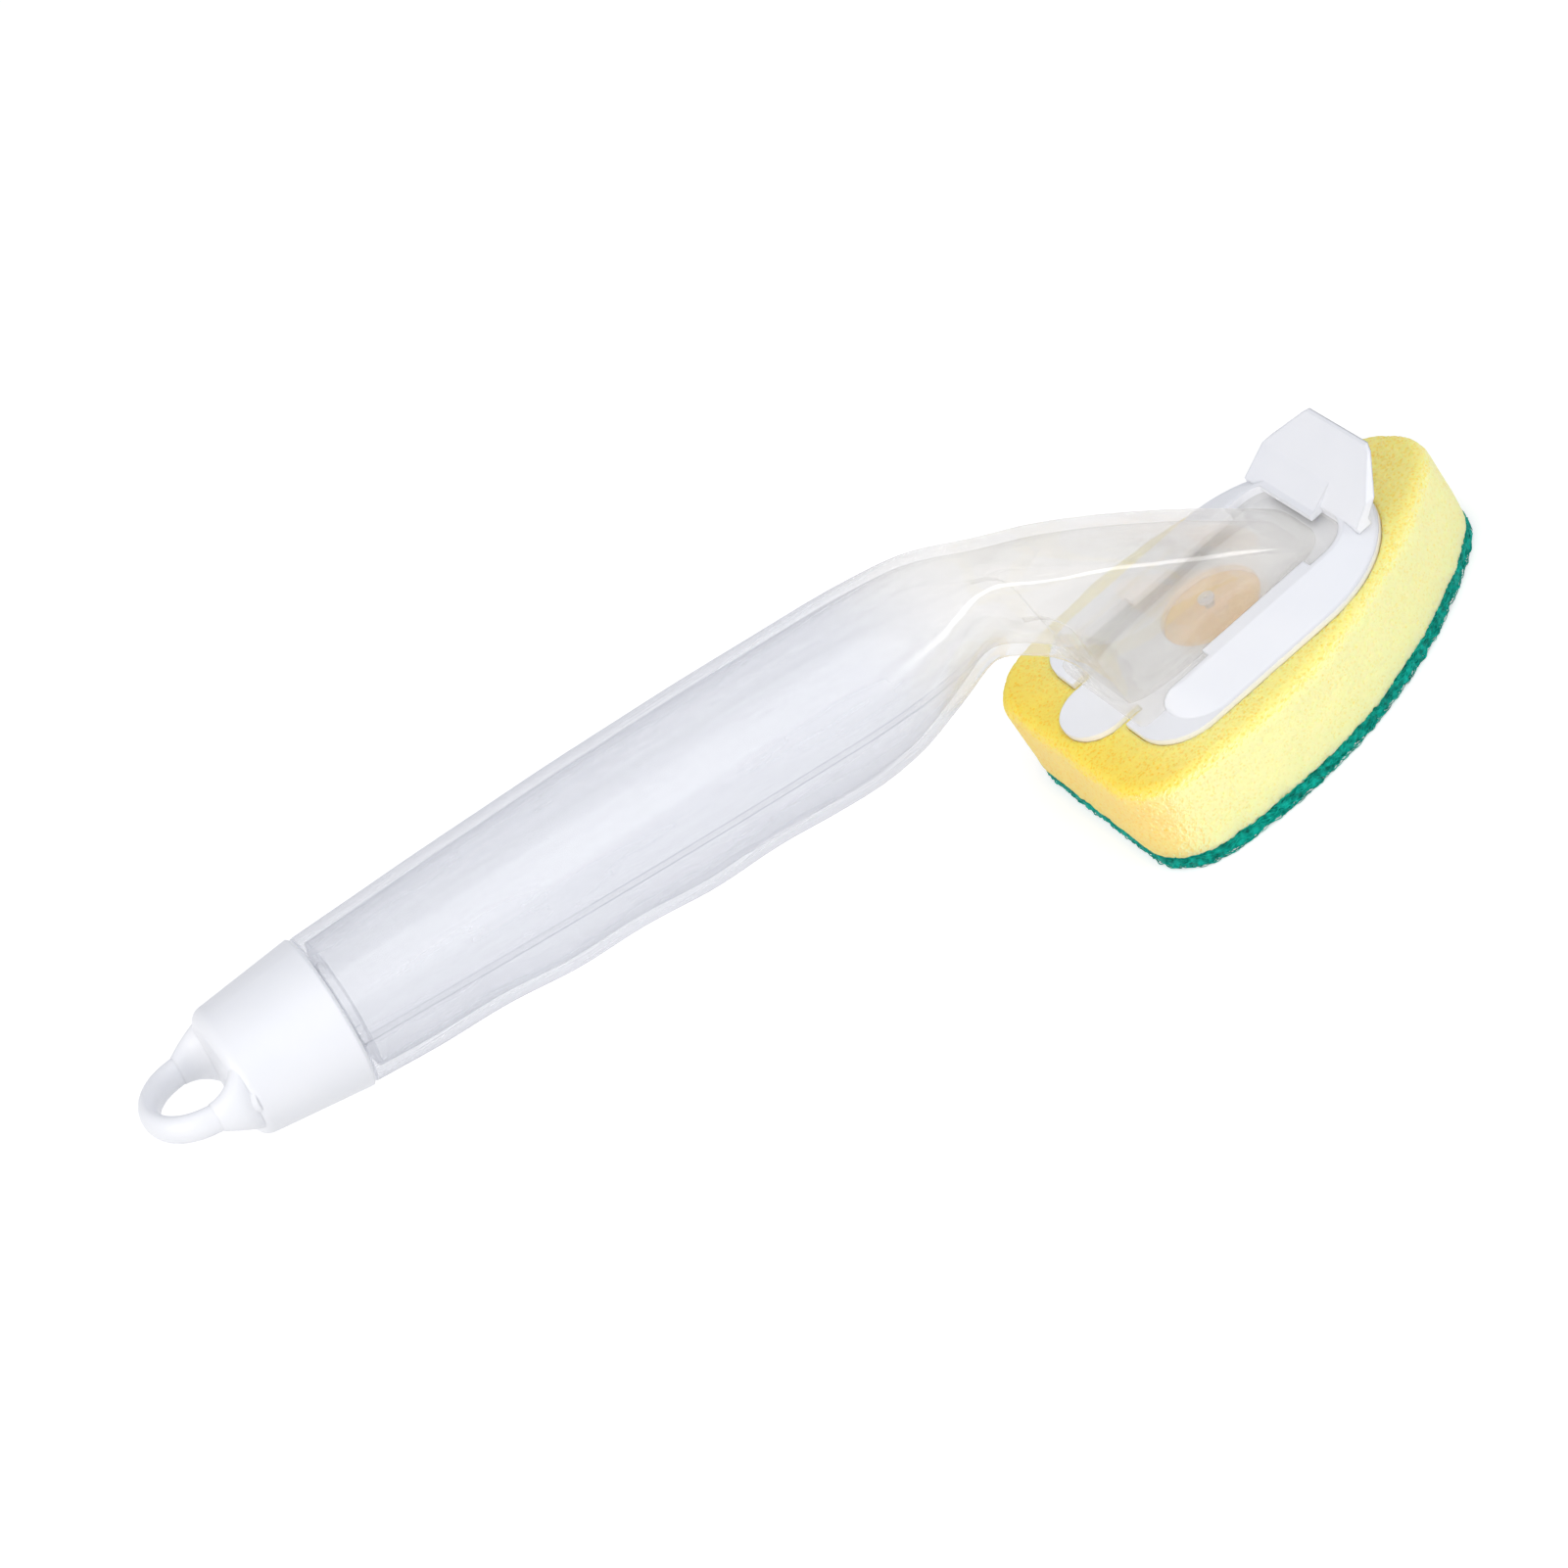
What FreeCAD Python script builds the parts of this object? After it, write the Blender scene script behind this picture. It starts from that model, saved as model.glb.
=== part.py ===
import FreeCAD, Part
import math
import os
import Sketcher
from FreeCAD import Placement, Rotation, Vector

# Dish wand: clear soap handle of two welded shells, screw cap with hanging loop, slide-on sponge refill.
# Frame: origin on the scouring face straight below the soap outlet, +X towards the thumb tab, +Z up.
# Driving dimensions in millimetres and degrees: name, value, meaning.
SIZES = [
    ("pad_thickness", 3.4, "scouring pad"),
    ("sponge_thickness", 19.6, "foam block"),
    ("sponge_rear", 43.4, "rear edge of the foam behind the outlet"),
    ("sponge_front", 55.1, "front tip of the foam ahead of the outlet"),
    ("sponge_rear_straight", 20.4, "half of the straight rear edge"),
    ("sponge_corner_radius", 14.4, "rear corners in plan"),
    ("sponge_side_radius", 93.0, "sides in plan"),
    ("sponge_tip_radius", 15.8, "front tip in plan"),
    ("sponge_edge_radius", 2.5, "rounding of the upper edge"),
    ("slide_gap", 0.2, "running gap between the refill and the flange"),
    ("plate_thickness", 1.5, "floor of the refill plate"),
    ("plate_rear", 30.7, "rear edge of the plate's feet"),
    ("plate_front", 38.8, "front edge of the plate"),
    ("plate_half_width", 28.3, "half width of the plate"),
    ("plate_rear_radius", 11.5, "rear corners of the plate"),
    ("plate_front_straight", 1.3, "half of the straight front edge of the plate"),
    ("soap_hole_radius", 11.2, "hole for the soap"),
    ("tongue_half_width", 8.7, "rear latch tongue"),
    ("tongue_reach", 39.5, "end of the tongue behind the outlet"),
    ("notch_width", 2.2, "slots beside the tongue"),
    ("notch_end", 26.0, "inner end of the slots"),
    ("rail_rear", 23.5, "rear end of the side rails"),
    ("rail_rear_radius", 9.5, "rounded rear end of the rails"),
    ("rail_border", 0.6, "ledge between the rail and the plate's edge"),
    ("rail_crest", 1.1, "flat top of the rail beside the slot"),
    ("lip_thickness", 1.5, "rail lip over the flange"),
    ("lip_overhang", 2.6, "reach of the lip over the flange"),
    ("lip_rear", 10.0, "rear end of the lip behind the outlet"),
    ("lip_front", 17.4, "front end of the lip"),
    ("hook_reach", 4.2, "right end of the front hook over the flange"),
    ("hook_overhang", 3.1, "reach of the hook over the flange"),
    ("tab_thickness", 1.4, "thumb tab"),
    ("tab_edge", 0.9, "upper edge of the tab, measured level"),
    ("tab_lean", 51.0, "lean of the tab from upright"),
    ("tab_height", 9.3, "rise of the tab above the rails"),
    ("tab_left_half_width", 21.4, "foot of the tab, left of the middle"),
    ("tab_right_half_width", 17.8, "foot of the tab, right of the middle"),
    ("tab_top_half_width", 12.8, "upper edge of the tab"),
    ("tab_shoulder", 3.1, "height of the wide foot of the tab"),
    ("tab_corner", 1.8, "cut upper corners of the tab"),
    ("flange_thickness", 1.7, "flanged floor of the head"),
    ("flange_rear", 29.5, "rear edge of the flange"),
    ("flange_front", 29.0, "front edge of the flange"),
    ("flange_half_width", 16.4, "half width of the flange"),
    ("flange_rear_radius", 2.0, "rear corners of the flange"),
    ("flange_front_radius", 8.0, "front corners of the flange"),
    ("nose_ledge", 4.1, "flange ahead of the head's nose"),
    ("side_ledge", 2.8, "flange beside the head's nose"),
    ("rear_side_ledge", 3.9, "flange beside the head's rear wall"),
    ("rear_ledge", 0.5, "flange behind the head's rear wall"),
    ("roof_drop", 9.4, "roof of the head at the neck, below the top of the neck"),
    ("roof_bow", 8.0, "drop of the roof at the neck below a straight fall"),
    ("roof_bulge", 2.4, "swell of the roof's width half way up"),
    ("neck_roof_half_width", 11.4, "roof of the head at the neck"),
    ("throat_ahead", 25.9, "crown of the throat ahead of the grip"),
    ("throat_rise", 3.6, "crown of the throat above the foot of the neck"),
    ("neck_ahead", 22.4, "neck section ahead of the grip"),
    ("neck_drop", 2.1, "neck section below the end of the grip"),
    ("neck_radius", 16.2, "neck section"),
    ("neck_tilt", 18.0, "neck section"),
    ("shoulder_ahead", 11.9, "shoulder section ahead of the grip"),
    ("shoulder_drop", 1.4, "shoulder section below the end of the grip"),
    ("shoulder_radius", 18.2, "shoulder section"),
    ("shoulder_tilt", 13.0, "shoulder section"),
    ("grip_end_back", 74.4, "front end of the grip behind the outlet"),
    ("grip_end_height", 68.3, "front end of the grip above the floor"),
    ("grip_radius", 19.2, "grip at its fullest"),
    ("grip_swell", 100.0, "length over which the grip swells"),
    ("grip_length", 115.0, "straight grip from the cap to the shoulder"),
    ("grip_wave_depth", 0.8, "finger waves under the grip"),
    ("grip_wave_pitch", 31.0, "finger waves under the grip"),
    ("grip_wave_first", 29.0, "first finger wave from the cap"),
    ("mouth_body_radius", 15.9, "grip at the cap"),
    ("handle_tilt", 11.23, "rise of the grip towards the cap"),
    ("wall", 2.2, "wall of the shells"),
    ("seam_inset", 2.2, "foot of the seam ahead of the flange's rear edge"),
    ("seam_lean", 4.0, "lean of the seam behind the head"),
    ("seam_radius", 12.0, "bend of the seam over the throat"),
    ("spout_radius", 11.1, "threaded mouth"),
    ("spout_bore", 9.2, "opening of the mouth"),
    ("spout_length", 12.0, "threaded mouth"),
    ("thread_pitch", 4.0, "cap thread"),
    ("thread_height", 1.0, "cap thread ridges"),
    ("thread_foot", 2.0, "cap thread ridges at the foot"),
    ("thread_crest", 1.2, "cap thread ridges at the crest"),
    ("thread_gap", 0.3, "running gap of the cap thread"),
    ("thread_start", 2.4, "first ridge from the end of the grip"),
    ("cap_gap", 0.4, "gap between the cap and the grip"),
    ("cap_rim_radius", 16.3, "cap at its rim"),
    ("cap_rim_chamfer", 0.6, "bevelled edge of the rim"),
    ("cap_end_radius", 13.6, "cap at its end"),
    ("cap_length", 24.5, "cap without the loop"),
    ("cap_end_round", 3.2, "rounded end of the cap"),
    ("cap_end_wall", 3.4, "end wall of the cap"),
    ("cap_core_radius", 8.0, "cored hollow behind the gasket"),
    ("gasket_thickness", 1.4, "sealing ring"),
    ("gasket_hole", 8.4, "sealing ring"),
    ("seal_gap", 0.2, "gap on each side of the sealing ring"),
    ("loop_reach", 42.3, "tip of the hanging loop from the end of the grip"),
    ("loop_root", 12.2, "strap of the loop where it leaves the cap"),
    ("loop_radius", 10.3, "middle of the loop's strap at the tip"),
    ("loop_strap_width", 4.0, "strap of the loop, in its plane"),
    ("loop_strap_thickness", 6.2, "strap of the loop, across its plane"),
    ("loop_foot_width", 9.4, "flared foot of the strap inside the cap, in its plane"),
    ("loop_foot_inset", 4.6, "flared foot of the strap from the cap's side, across its plane"),
    ("loop_foot_depth", 2.0, "foot of the flare below the end of the cap"),
    ("loop_instep_width", 5.6, "flare a third of the way out, in its plane"),
    ("loop_instep_thickness", 10.6, "flare a third of the way out, across its plane"),
    ("loop_flare_length", 6.0, "flare from the end of the cap"),
    ("valve_stem_radius", 1.1, "slit valve in the floor of the head"),
    ("valve_head_radius", 1.8, "slit valve"),
    ("valve_head_thickness", 0.6, "slit valve"),
    ("valve_slit_radius", 0.4, "passage of the slit valve"),
    ("valve_fit", 0.02, "radial fit of the valve in its hole"),
]

THREAD_TURNS_SPOUT = 1.5
THREAD_TURNS_CAP = 1.0
POINTS_PER_SECTION = 48
STATION_SPACING = 4.0
HEAD_STATIONS = 4
ROUND = 2.0
ROOF_EDGE = 4.0
REAR_EDGE = 4.5
NECK_ROOF_EDGE = 3.2
NECK_THROAT_EDGE = 2.6
THROAT_SWEEP = 80.0
ROOF_SHARE = 0.85
ROOT_SHARE = 0.8
ANKLE_SHARE = 1.06
RAIL_TAPER = 0.6
HOOK_SHARE = 0.7
TONGUE_ROUND = 0.95
FAR = 400.0

doc = FreeCAD.newDocument("dish_wand")
sheet = doc.addObject("Spreadsheet::Sheet", "Sizes")
for row, (alias, value, meaning) in enumerate(SIZES, start=1):
    sheet.set(f"A{row}", meaning)
    sheet.set(f"B{row}", str(value))
    sheet.setAlias(f"B{row}", alias)
doc.recompute()


def size(name):
    """Value of a driving dimension."""
    return float(sheet.get(name))


# Heights and sizes that several pieces share.
TILT = "Sizes.handle_tilt * 1deg"
CAP_BORE = "Sizes.spout_radius + Sizes.thread_height + Sizes.thread_gap"
PLATE_BASE = "Sizes.pad_thickness + Sizes.sponge_thickness"
PLATE_TOP = PLATE_BASE + " + Sizes.plate_thickness"
FLANGE_BASE = PLATE_TOP + " + Sizes.slide_gap"
plate_base = size("pad_thickness") + size("sponge_thickness")
plate_top = plate_base + size("plate_thickness")
flange_base = plate_top + size("slide_gap")
flange_top = flange_base + size("flange_thickness")


def plane_of(body, role):
    """One of a body's own origin planes or axes."""
    for feature in body.Origin.OriginFeatures:
        if feature.Role == role:
            return feature
    raise ValueError(role)


def new_body(name):
    """Body whose label names its file."""
    body = doc.addObject("PartDesign::Body", name)
    body.Label = name
    return body


def new_sketch(body, name, role, height=None):
    """Sketch on an origin plane, raised along its normal by an expression."""
    sketch = body.newObject("Sketcher::SketchObject", name)
    sketch.AttachmentSupport = (plane_of(body, role), "")
    sketch.MapMode = "FlatFace"
    if height is not None:
        sketch.setExpression("AttachmentOffset.Base.z", height)
    doc.recompute()
    return sketch


def value_of(expression):
    """Number that an expression of the sheet gives."""
    return float(sheet.evalExpression(expression))


def constrain(sketch, kind, place, name, expression):
    """Named constraint of a sketch, bound to the sheet."""
    index = sketch.addConstraint(Sketcher.Constraint(kind, *place, value_of(expression)))
    sketch.renameConstraint(index, name)
    sketch.setExpression(f"Constraints.{name}", expression)


def add_feature(body, kind, name, profile, **numbers):
    """Feature made from a sketch, its sizes bound to the sheet."""
    feature = body.newObject(f"PartDesign::{kind}", name)
    feature.Profile = profile
    for prop, expression in numbers.items():
        feature.setExpression(prop, expression)
    doc.recompute()
    return feature


def line(start, end):
    """Line segment between two plan points."""
    return Part.LineSegment(Vector(*start, 0), Vector(*end, 0))


def arc(centre, radius, first, last):
    """Counter-clockwise arc in plan, angles in degrees."""
    circle = Part.Circle(Vector(*centre, 0), Vector(0, 0, 1), radius)
    return Part.ArcOfCircle(circle, math.radians(first), math.radians(last))


def chain(sketch, pieces):
    """Adds a closed run of lines and arcs that join tangentially, in counter-clockwise order."""
    first = sketch.GeometryCount
    for piece in pieces:
        sketch.addGeometry(piece, False)
    count = len(pieces)
    for i in range(count):
        sketch.addConstraint(Sketcher.Constraint("Tangent", first + i, 2, first + (i + 1) % count, 1))
    return first


def polygon(sketch, points):
    """Adds a closed run of straight lines."""
    first = sketch.GeometryCount
    count = len(points)
    for i in range(count):
        sketch.addGeometry(line(points[i], points[(i + 1) % count]), False)
    for i in range(count):
        sketch.addConstraint(Sketcher.Constraint("Coincident", first + i, 2, first + (i + 1) % count, 1))
    return first


def pin_points(sketch, first, points):
    """Fixes the corners of a run of lines by expressions for x and y."""
    for i, (x, y) in enumerate(points):
        constrain(sketch, "DistanceX", (-1, 1, first + i, 1), f"x{first}_{i}", x)
        constrain(sketch, "DistanceY", (-1, 1, first + i, 1), f"y{first}_{i}", y)


def bound_polygon(sketch, expressions):
    """Closed polygon whose corners are pairs of expressions."""
    points = []
    for x, y in expressions:
        points.append((value_of(x), value_of(y)))
    first = polygon(sketch, points)
    pin_points(sketch, first, expressions)
    return first


def shield_sketch(body):
    """Plan of the foam and the pad: straight rear edge, rounded corners, bowed sides, round tip."""
    rear, front = size("sponge_rear"), size("sponge_front")
    straight = size("sponge_rear_straight")
    corner, side, tip = size("sponge_corner_radius"), size("sponge_side_radius"), size("sponge_tip_radius")
    corner_centre = Vector(corner - rear, -straight, 0)
    tip_centre = Vector(front - tip, 0, 0)
    span = tip_centre - corner_centre
    reach = ((side - corner) ** 2 - (side - tip) ** 2 + span.Length ** 2) / (2 * span.Length)
    rise = math.sqrt((side - corner) ** 2 - reach ** 2)
    along = Vector(span).normalize()
    side_centre = corner_centre + along * reach + Vector(-along.y, along.x, 0) * rise
    to_corner = corner_centre - side_centre
    to_tip = tip_centre - side_centre
    low = math.degrees(math.atan2(to_corner.y, to_corner.x))
    high = math.degrees(math.atan2(to_tip.y, to_tip.x))
    mirrored = (side_centre.x, -side_centre.y)
    sketch = new_sketch(body, body.Name + "_plan", "XY_Plane")
    first = chain(sketch, [
        line((-rear, straight), (-rear, -straight)),
        arc((corner_centre.x, -straight), corner, 180, 360 + low),
        arc((side_centre.x, side_centre.y), side, low, high),
        arc((tip_centre.x, 0), tip, high, -high),
        arc(mirrored, side, -high, -low),
        arc((corner_centre.x, straight), corner, -low, 180),
    ])
    radii = ["corner", "side", "tip", "side", "corner"]
    for i, name in enumerate(radii, start=1):
        constrain(sketch, "Radius", (first + i,), f"radius_{i}", f"Sizes.sponge_{name}_radius")
    constrain(sketch, "DistanceX", (first, 1, -1, 1), "rear", "Sizes.sponge_rear")
    constrain(sketch, "DistanceY", (-1, 1, first, 1), "straight_left", "Sizes.sponge_rear_straight")
    constrain(sketch, "DistanceY", (first, 2, -1, 1), "straight_right", "Sizes.sponge_rear_straight")
    sketch.addConstraint(Sketcher.Constraint("Vertical", first))
    tip_place = "Sizes.sponge_front - Sizes.sponge_tip_radius"
    constrain(sketch, "DistanceX", (-1, 1, first + 3, 3), "tip", tip_place)
    doc.recompute()
    return sketch


def edges_at(shape, height):
    """Names of the edges that lie level at a height."""
    names = []
    for i, edge in enumerate(shape.Edges, start=1):
        box = edge.BoundBox
        if abs(box.ZMin - height) < 1e-4 and abs(box.ZMax - height) < 1e-4:
            names.append(f"Edge{i}")
    return names


def make_scour_pad():
    body = new_body("scour_pad")
    add_feature(body, "Pad", "pad_block", shield_sketch(body), Length="Sizes.pad_thickness")
    return body


def make_sponge():
    body = new_body("sponge")
    block = add_feature(body, "Pad", "foam_block", shield_sketch(body), Length="Sizes.sponge_thickness")
    rounding = body.newObject("PartDesign::Fillet", "foam_edge")
    rounding.Base = (block, edges_at(block.Shape, size("sponge_thickness")))
    rounding.setExpression("Radius", "Sizes.sponge_edge_radius")
    body.setExpression("Placement.Base.z", "Sizes.pad_thickness")
    doc.recompute()
    return body


def round_plan(sketch, rear, front, half, rear_radius, front_radius):
    """Rounded rectangle about the X axis; every argument is an expression of the sheet."""
    x0, x1, y = value_of(rear), value_of(front), value_of(half)
    r0, r1 = value_of(rear_radius), value_of(front_radius)
    first = chain(sketch, [
        line((x0, y - r0), (x0, r0 - y)),
        arc((x0 + r0, r0 - y), r0, 180, 270),
        line((x0 + r0, -y), (x1 - r1, -y)),
        arc((x1 - r1, r1 - y), r1, 270, 360),
        line((x1, r1 - y), (x1, y - r1)),
        arc((x1 - r1, y - r1), r1, 0, 90),
        line((x1 - r1, y), (x0 + r0, y)),
        arc((x0 + r0, y - r0), r0, 90, 180),
    ])
    tag = f"g{first}"
    for i, expression in ((1, rear_radius), (7, rear_radius), (3, front_radius), (5, front_radius)):
        constrain(sketch, "Radius", (first + i,), f"{tag}_r{i}", expression)
    constrain(sketch, "DistanceX", (-1, 1, first, 1), f"{tag}_rear", rear)
    constrain(sketch, "DistanceX", (-1, 1, first + 4, 1), f"{tag}_front", front)
    constrain(sketch, "DistanceY", (-1, 1, first + 6, 1), f"{tag}_left", half)
    constrain(sketch, "DistanceY", (first + 2, 1, -1, 1), f"{tag}_right", half)
    sketch.addConstraint(Sketcher.Constraint("Vertical", first))
    sketch.addConstraint(Sketcher.Constraint("Vertical", first + 4))
    doc.recompute()


def make_refill_plate():
    body = new_body("refill_plate")
    body.setExpression("Placement.Base.z", PLATE_BASE)
    lip_base = "Sizes.plate_thickness + 2 * Sizes.slide_gap + Sizes.flange_thickness"
    lip_top = lip_base + " + Sizes.lip_thickness"
    slot_half = "Sizes.flange_half_width + Sizes.slide_gap"
    slot_front = "Sizes.flange_front + Sizes.slide_gap"
    slot_radius = "Sizes.flange_front_radius + Sizes.slide_gap"
    beyond = "Sizes.sponge_rear"

    floor = new_sketch(body, "plate_plan", "XY_Plane")
    front_radius = "(Sizes.plate_half_width - Sizes.plate_front_straight)"
    round_plan(floor, "-Sizes.plate_rear", "Sizes.plate_front", "Sizes.plate_half_width",
               "Sizes.plate_rear_radius", front_radius)
    add_feature(body, "Pad", "plate_floor", floor, Length="Sizes.plate_thickness")

    rail_foot = new_sketch(body, "rail_foot", "XY_Plane", "Sizes.plate_thickness")
    round_plan(rail_foot, "-Sizes.rail_rear", "Sizes.plate_front - Sizes.rail_border",
               "Sizes.plate_half_width - Sizes.rail_border", "Sizes.rail_rear_radius",
               f"{front_radius} - Sizes.rail_border")
    rail_top = new_sketch(body, "rail_top", "XY_Plane", lip_top)
    crest_half = f"{slot_half} + Sizes.rail_crest"
    round_plan(rail_top, "-Sizes.rail_rear + Sizes.rail_border", f"{slot_front} + Sizes.rail_crest",
               crest_half, f"Sizes.rail_rear_radius * {RAIL_TAPER}", f"{slot_radius} + Sizes.rail_crest")
    rails = body.newObject("PartDesign::AdditiveLoft", "rail_block")
    rails.Profile = rail_foot
    rails.Sections = [rail_top]
    rails.Ruled = True
    doc.recompute()

    slot = new_sketch(body, "flange_slot", "XY_Plane", lip_base)
    round_plan(slot, f"-{beyond}", slot_front, slot_half, "Sizes.flange_rear_radius", slot_radius)
    add_feature(body, "Pocket", "flange_way", slot, Length="2 * Sizes.slide_gap + Sizes.flange_thickness")

    window = new_sketch(body, "head_window", "XY_Plane", lip_top)
    lip_half = f"{slot_half} - Sizes.lip_overhang"
    past_lip = "Sizes.lip_front + Sizes.lip_overhang"
    bound_polygon(window, [(f"-{beyond}", f"-({lip_half})"), (past_lip, f"-({lip_half})"),
                           (past_lip, lip_half), (f"-{beyond}", lip_half)])
    add_feature(body, "Pocket", "head_way", window, Length="Sizes.lip_thickness")

    rear_gap = new_sketch(body, "rear_gap", "XY_Plane", lip_top)
    bound_polygon(rear_gap, [(f"-{beyond}", f"-({slot_half})"), ("-Sizes.lip_rear", f"-({slot_half})"),
                             ("-Sizes.lip_rear", slot_half), (f"-{beyond}", slot_half)])
    add_feature(body, "Pocket", "rear_opening", rear_gap, Length="Sizes.lip_thickness")

    nose_gap = new_sketch(body, "nose_gap", "XY_Plane", lip_top)
    round_plan(nose_gap, "Sizes.lip_front", slot_front, slot_half, "Sizes.slide_gap", slot_radius)
    add_feature(body, "Pocket", "nose_opening", nose_gap, Length="Sizes.lip_thickness")

    hook = new_sketch(body, "hook_plan", "XY_Plane", lip_base)
    inner = f"{slot_front} - Sizes.hook_overhang"
    outer = f"{slot_front} + Sizes.rail_crest * {HOOK_SHARE}"
    bend = f"{slot_half} - ({slot_radius})"
    diagonal = f"({slot_radius} + Sizes.rail_crest * {HOOK_SHARE}) * cos(45deg)"
    bound_polygon(hook, [(inner, "-Sizes.hook_reach"), (outer, "-Sizes.hook_reach"), (outer, bend),
                         (f"{slot_front} - ({slot_radius}) + {diagonal}", f"{bend} + {diagonal}"),
                         (inner, f"{bend} + {diagonal}")])
    add_feature(body, "Pad", "front_hook", hook, Length="Sizes.lip_thickness")

    hole = new_sketch(body, "soap_hole", "XY_Plane", "Sizes.plate_thickness")
    hole.addGeometry(Part.Circle(Vector(0, 0, 0), Vector(0, 0, 1), size("soap_hole_radius")), False)
    hole.addConstraint(Sketcher.Constraint("Coincident", 0, 3, -1, 1))
    constrain(hole, "Radius", (0,), "radius", "Sizes.soap_hole_radius")
    add_feature(body, "Pocket", "soap_way", hole, Length="Sizes.plate_thickness")

    notch = new_sketch(body, "tongue_notches", "XY_Plane", "Sizes.plate_thickness")
    for side in ("", "-"):
        inner = f"{side}Sizes.tongue_half_width"
        outer = f"{side}(Sizes.tongue_half_width + Sizes.notch_width)"
        past = "-Sizes.plate_rear - Sizes.notch_width"
        bound_polygon(notch, [(past, inner), ("-Sizes.notch_end", inner),
                              ("-Sizes.notch_end", outer), (past, outer)])
    add_feature(body, "Pocket", "notch_cut", notch, Length="Sizes.plate_thickness")

    tongue = new_sketch(body, "tongue_plan", "XY_Plane")
    end_round = f"Sizes.tongue_half_width * {TONGUE_ROUND}"
    round_plan(tongue, "-Sizes.tongue_reach", "-Sizes.notch_end + Sizes.notch_width",
               "Sizes.tongue_half_width", end_round, "Sizes.notch_width / 2")
    add_feature(body, "Pad", "latch_tongue", tongue, Length="Sizes.plate_thickness")

    rise = "Sizes.tab_height"
    run = "Sizes.tab_height * tan(Sizes.tab_lean * 1deg)"
    foot = f"{slot_front} + Sizes.rail_crest"
    thick = "Sizes.tab_thickness / cos(Sizes.tab_lean * 1deg)"
    root = "Sizes.lip_thickness"
    tab_side = new_sketch(body, "tab_side", "XZ_Plane")
    bound_polygon(tab_side, [
        (f"{foot} - Sizes.rail_crest", f"{lip_top} - {root}"), (f"{foot} - Sizes.rail_crest", lip_top),
        (f"{foot} + {run}", f"{lip_top} + {rise}"),
        (f"{foot} + {run} + Sizes.tab_edge", f"{lip_top} + {rise}"),
        (f"{foot} + {thick}", lip_top), (f"{foot} + {thick}", f"{lip_top} - {root}")])
    tab = add_feature(body, "Pad", "thumb_tab", tab_side, Length="2 * Sizes.tab_left_half_width")
    tab.Midplane = True
    doc.recompute()

    tab_toe = new_sketch(body, "tab_toe", "XZ_Plane", "Sizes.hook_reach")
    toe = f"{slot_front} - Sizes.hook_overhang"
    blend_share = "Sizes.tab_shoulder / Sizes.tab_height"
    bound_polygon(tab_toe, [
        (toe, lip_base), (toe, f"{lip_base} + Sizes.lip_thickness / 2"),
        (f"{slot_front} + (Sizes.rail_crest + {run}) * {blend_share}", f"{lip_top} + Sizes.tab_shoulder"),
        (f"{foot} + {thick}", lip_top), (f"{foot} + {thick}", lip_base)])
    toe_width = "Sizes.hook_reach + Sizes.tab_left_half_width"
    wedge = add_feature(body, "Pad", "tab_foot", tab_toe, Length=toe_width)
    wedge.Reversed = True
    doc.recompute()

    tab_face = new_sketch(body, "tab_face", "YZ_Plane", slot_front)
    beside = "(Sizes.tab_left_half_width + Sizes.tab_thickness)"
    above = f"{lip_top} + Sizes.tab_height + Sizes.tab_thickness"
    narrow = "Sizes.tab_top_half_width"
    for side, wide, low in (("", "Sizes.tab_left_half_width", f"{lip_top} + Sizes.tab_shoulder"),
                            ("-", "Sizes.tab_right_half_width", lip_base)):
        corners = [(f"{side}{beside}", low), (f"{side}{wide}", low),
                   (f"{side}{narrow}", f"{lip_top} + Sizes.tab_height - Sizes.tab_corner / 2"),
                   (f"{side}({narrow} - Sizes.tab_corner)", f"{lip_top} + Sizes.tab_height"),
                   (f"{side}({narrow} - Sizes.tab_corner)", above), (f"{side}{beside}", above)]
        if side:
            corners.insert(2, (f"{side}{wide}", f"{lip_top} + Sizes.tab_shoulder"))
        bound_polygon(tab_face, corners)
    trim = add_feature(body, "Pocket", "tab_outline", tab_face)
    trim.Type = "ThroughAll"
    trim.Reversed = True
    doc.recompute()
    return body


def axis_point(along, above=0.0):
    """Point beside the grip's axis: distance from the cap end towards the head, and height above it."""
    rise = math.radians(size("handle_tilt"))
    end = Vector(-size("grip_end_back"), 0, size("grip_end_height"))
    forward = Vector(math.cos(rise), 0, -math.sin(rise))
    upward = Vector(math.sin(rise), 0, math.cos(rise))
    return end + forward * (along - size("grip_length")) + upward * above


def grip_radius(along):
    """Radius of the grip, which swells smoothly from the cap."""
    share = min(along / size("grip_swell"), 1.0)
    start = size("mouth_body_radius")
    return start + (size("grip_radius") - start) * math.sin(share * math.pi / 2)


def grip_wave(along):
    """Depth of the finger waves under the grip."""
    phase = 2 * math.pi * (along - size("grip_wave_first")) / size("grip_wave_pitch")
    return size("grip_wave_depth") * (1 + math.cos(phase)) / 2


def bend_pair(name):
    """Lowest and highest point of the round shoulder or neck section, which leans forward."""
    tilt = math.radians(size(f"{name}_tilt"))
    lean = Vector(math.sin(tilt), 0, math.cos(tilt)) * size(f"{name}_radius")
    end = axis_point(size("grip_length"))
    middle = end + Vector(size(f"{name}_ahead"), 0, -size(f"{name}_drop"))
    return middle - lean, middle + lean


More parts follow.
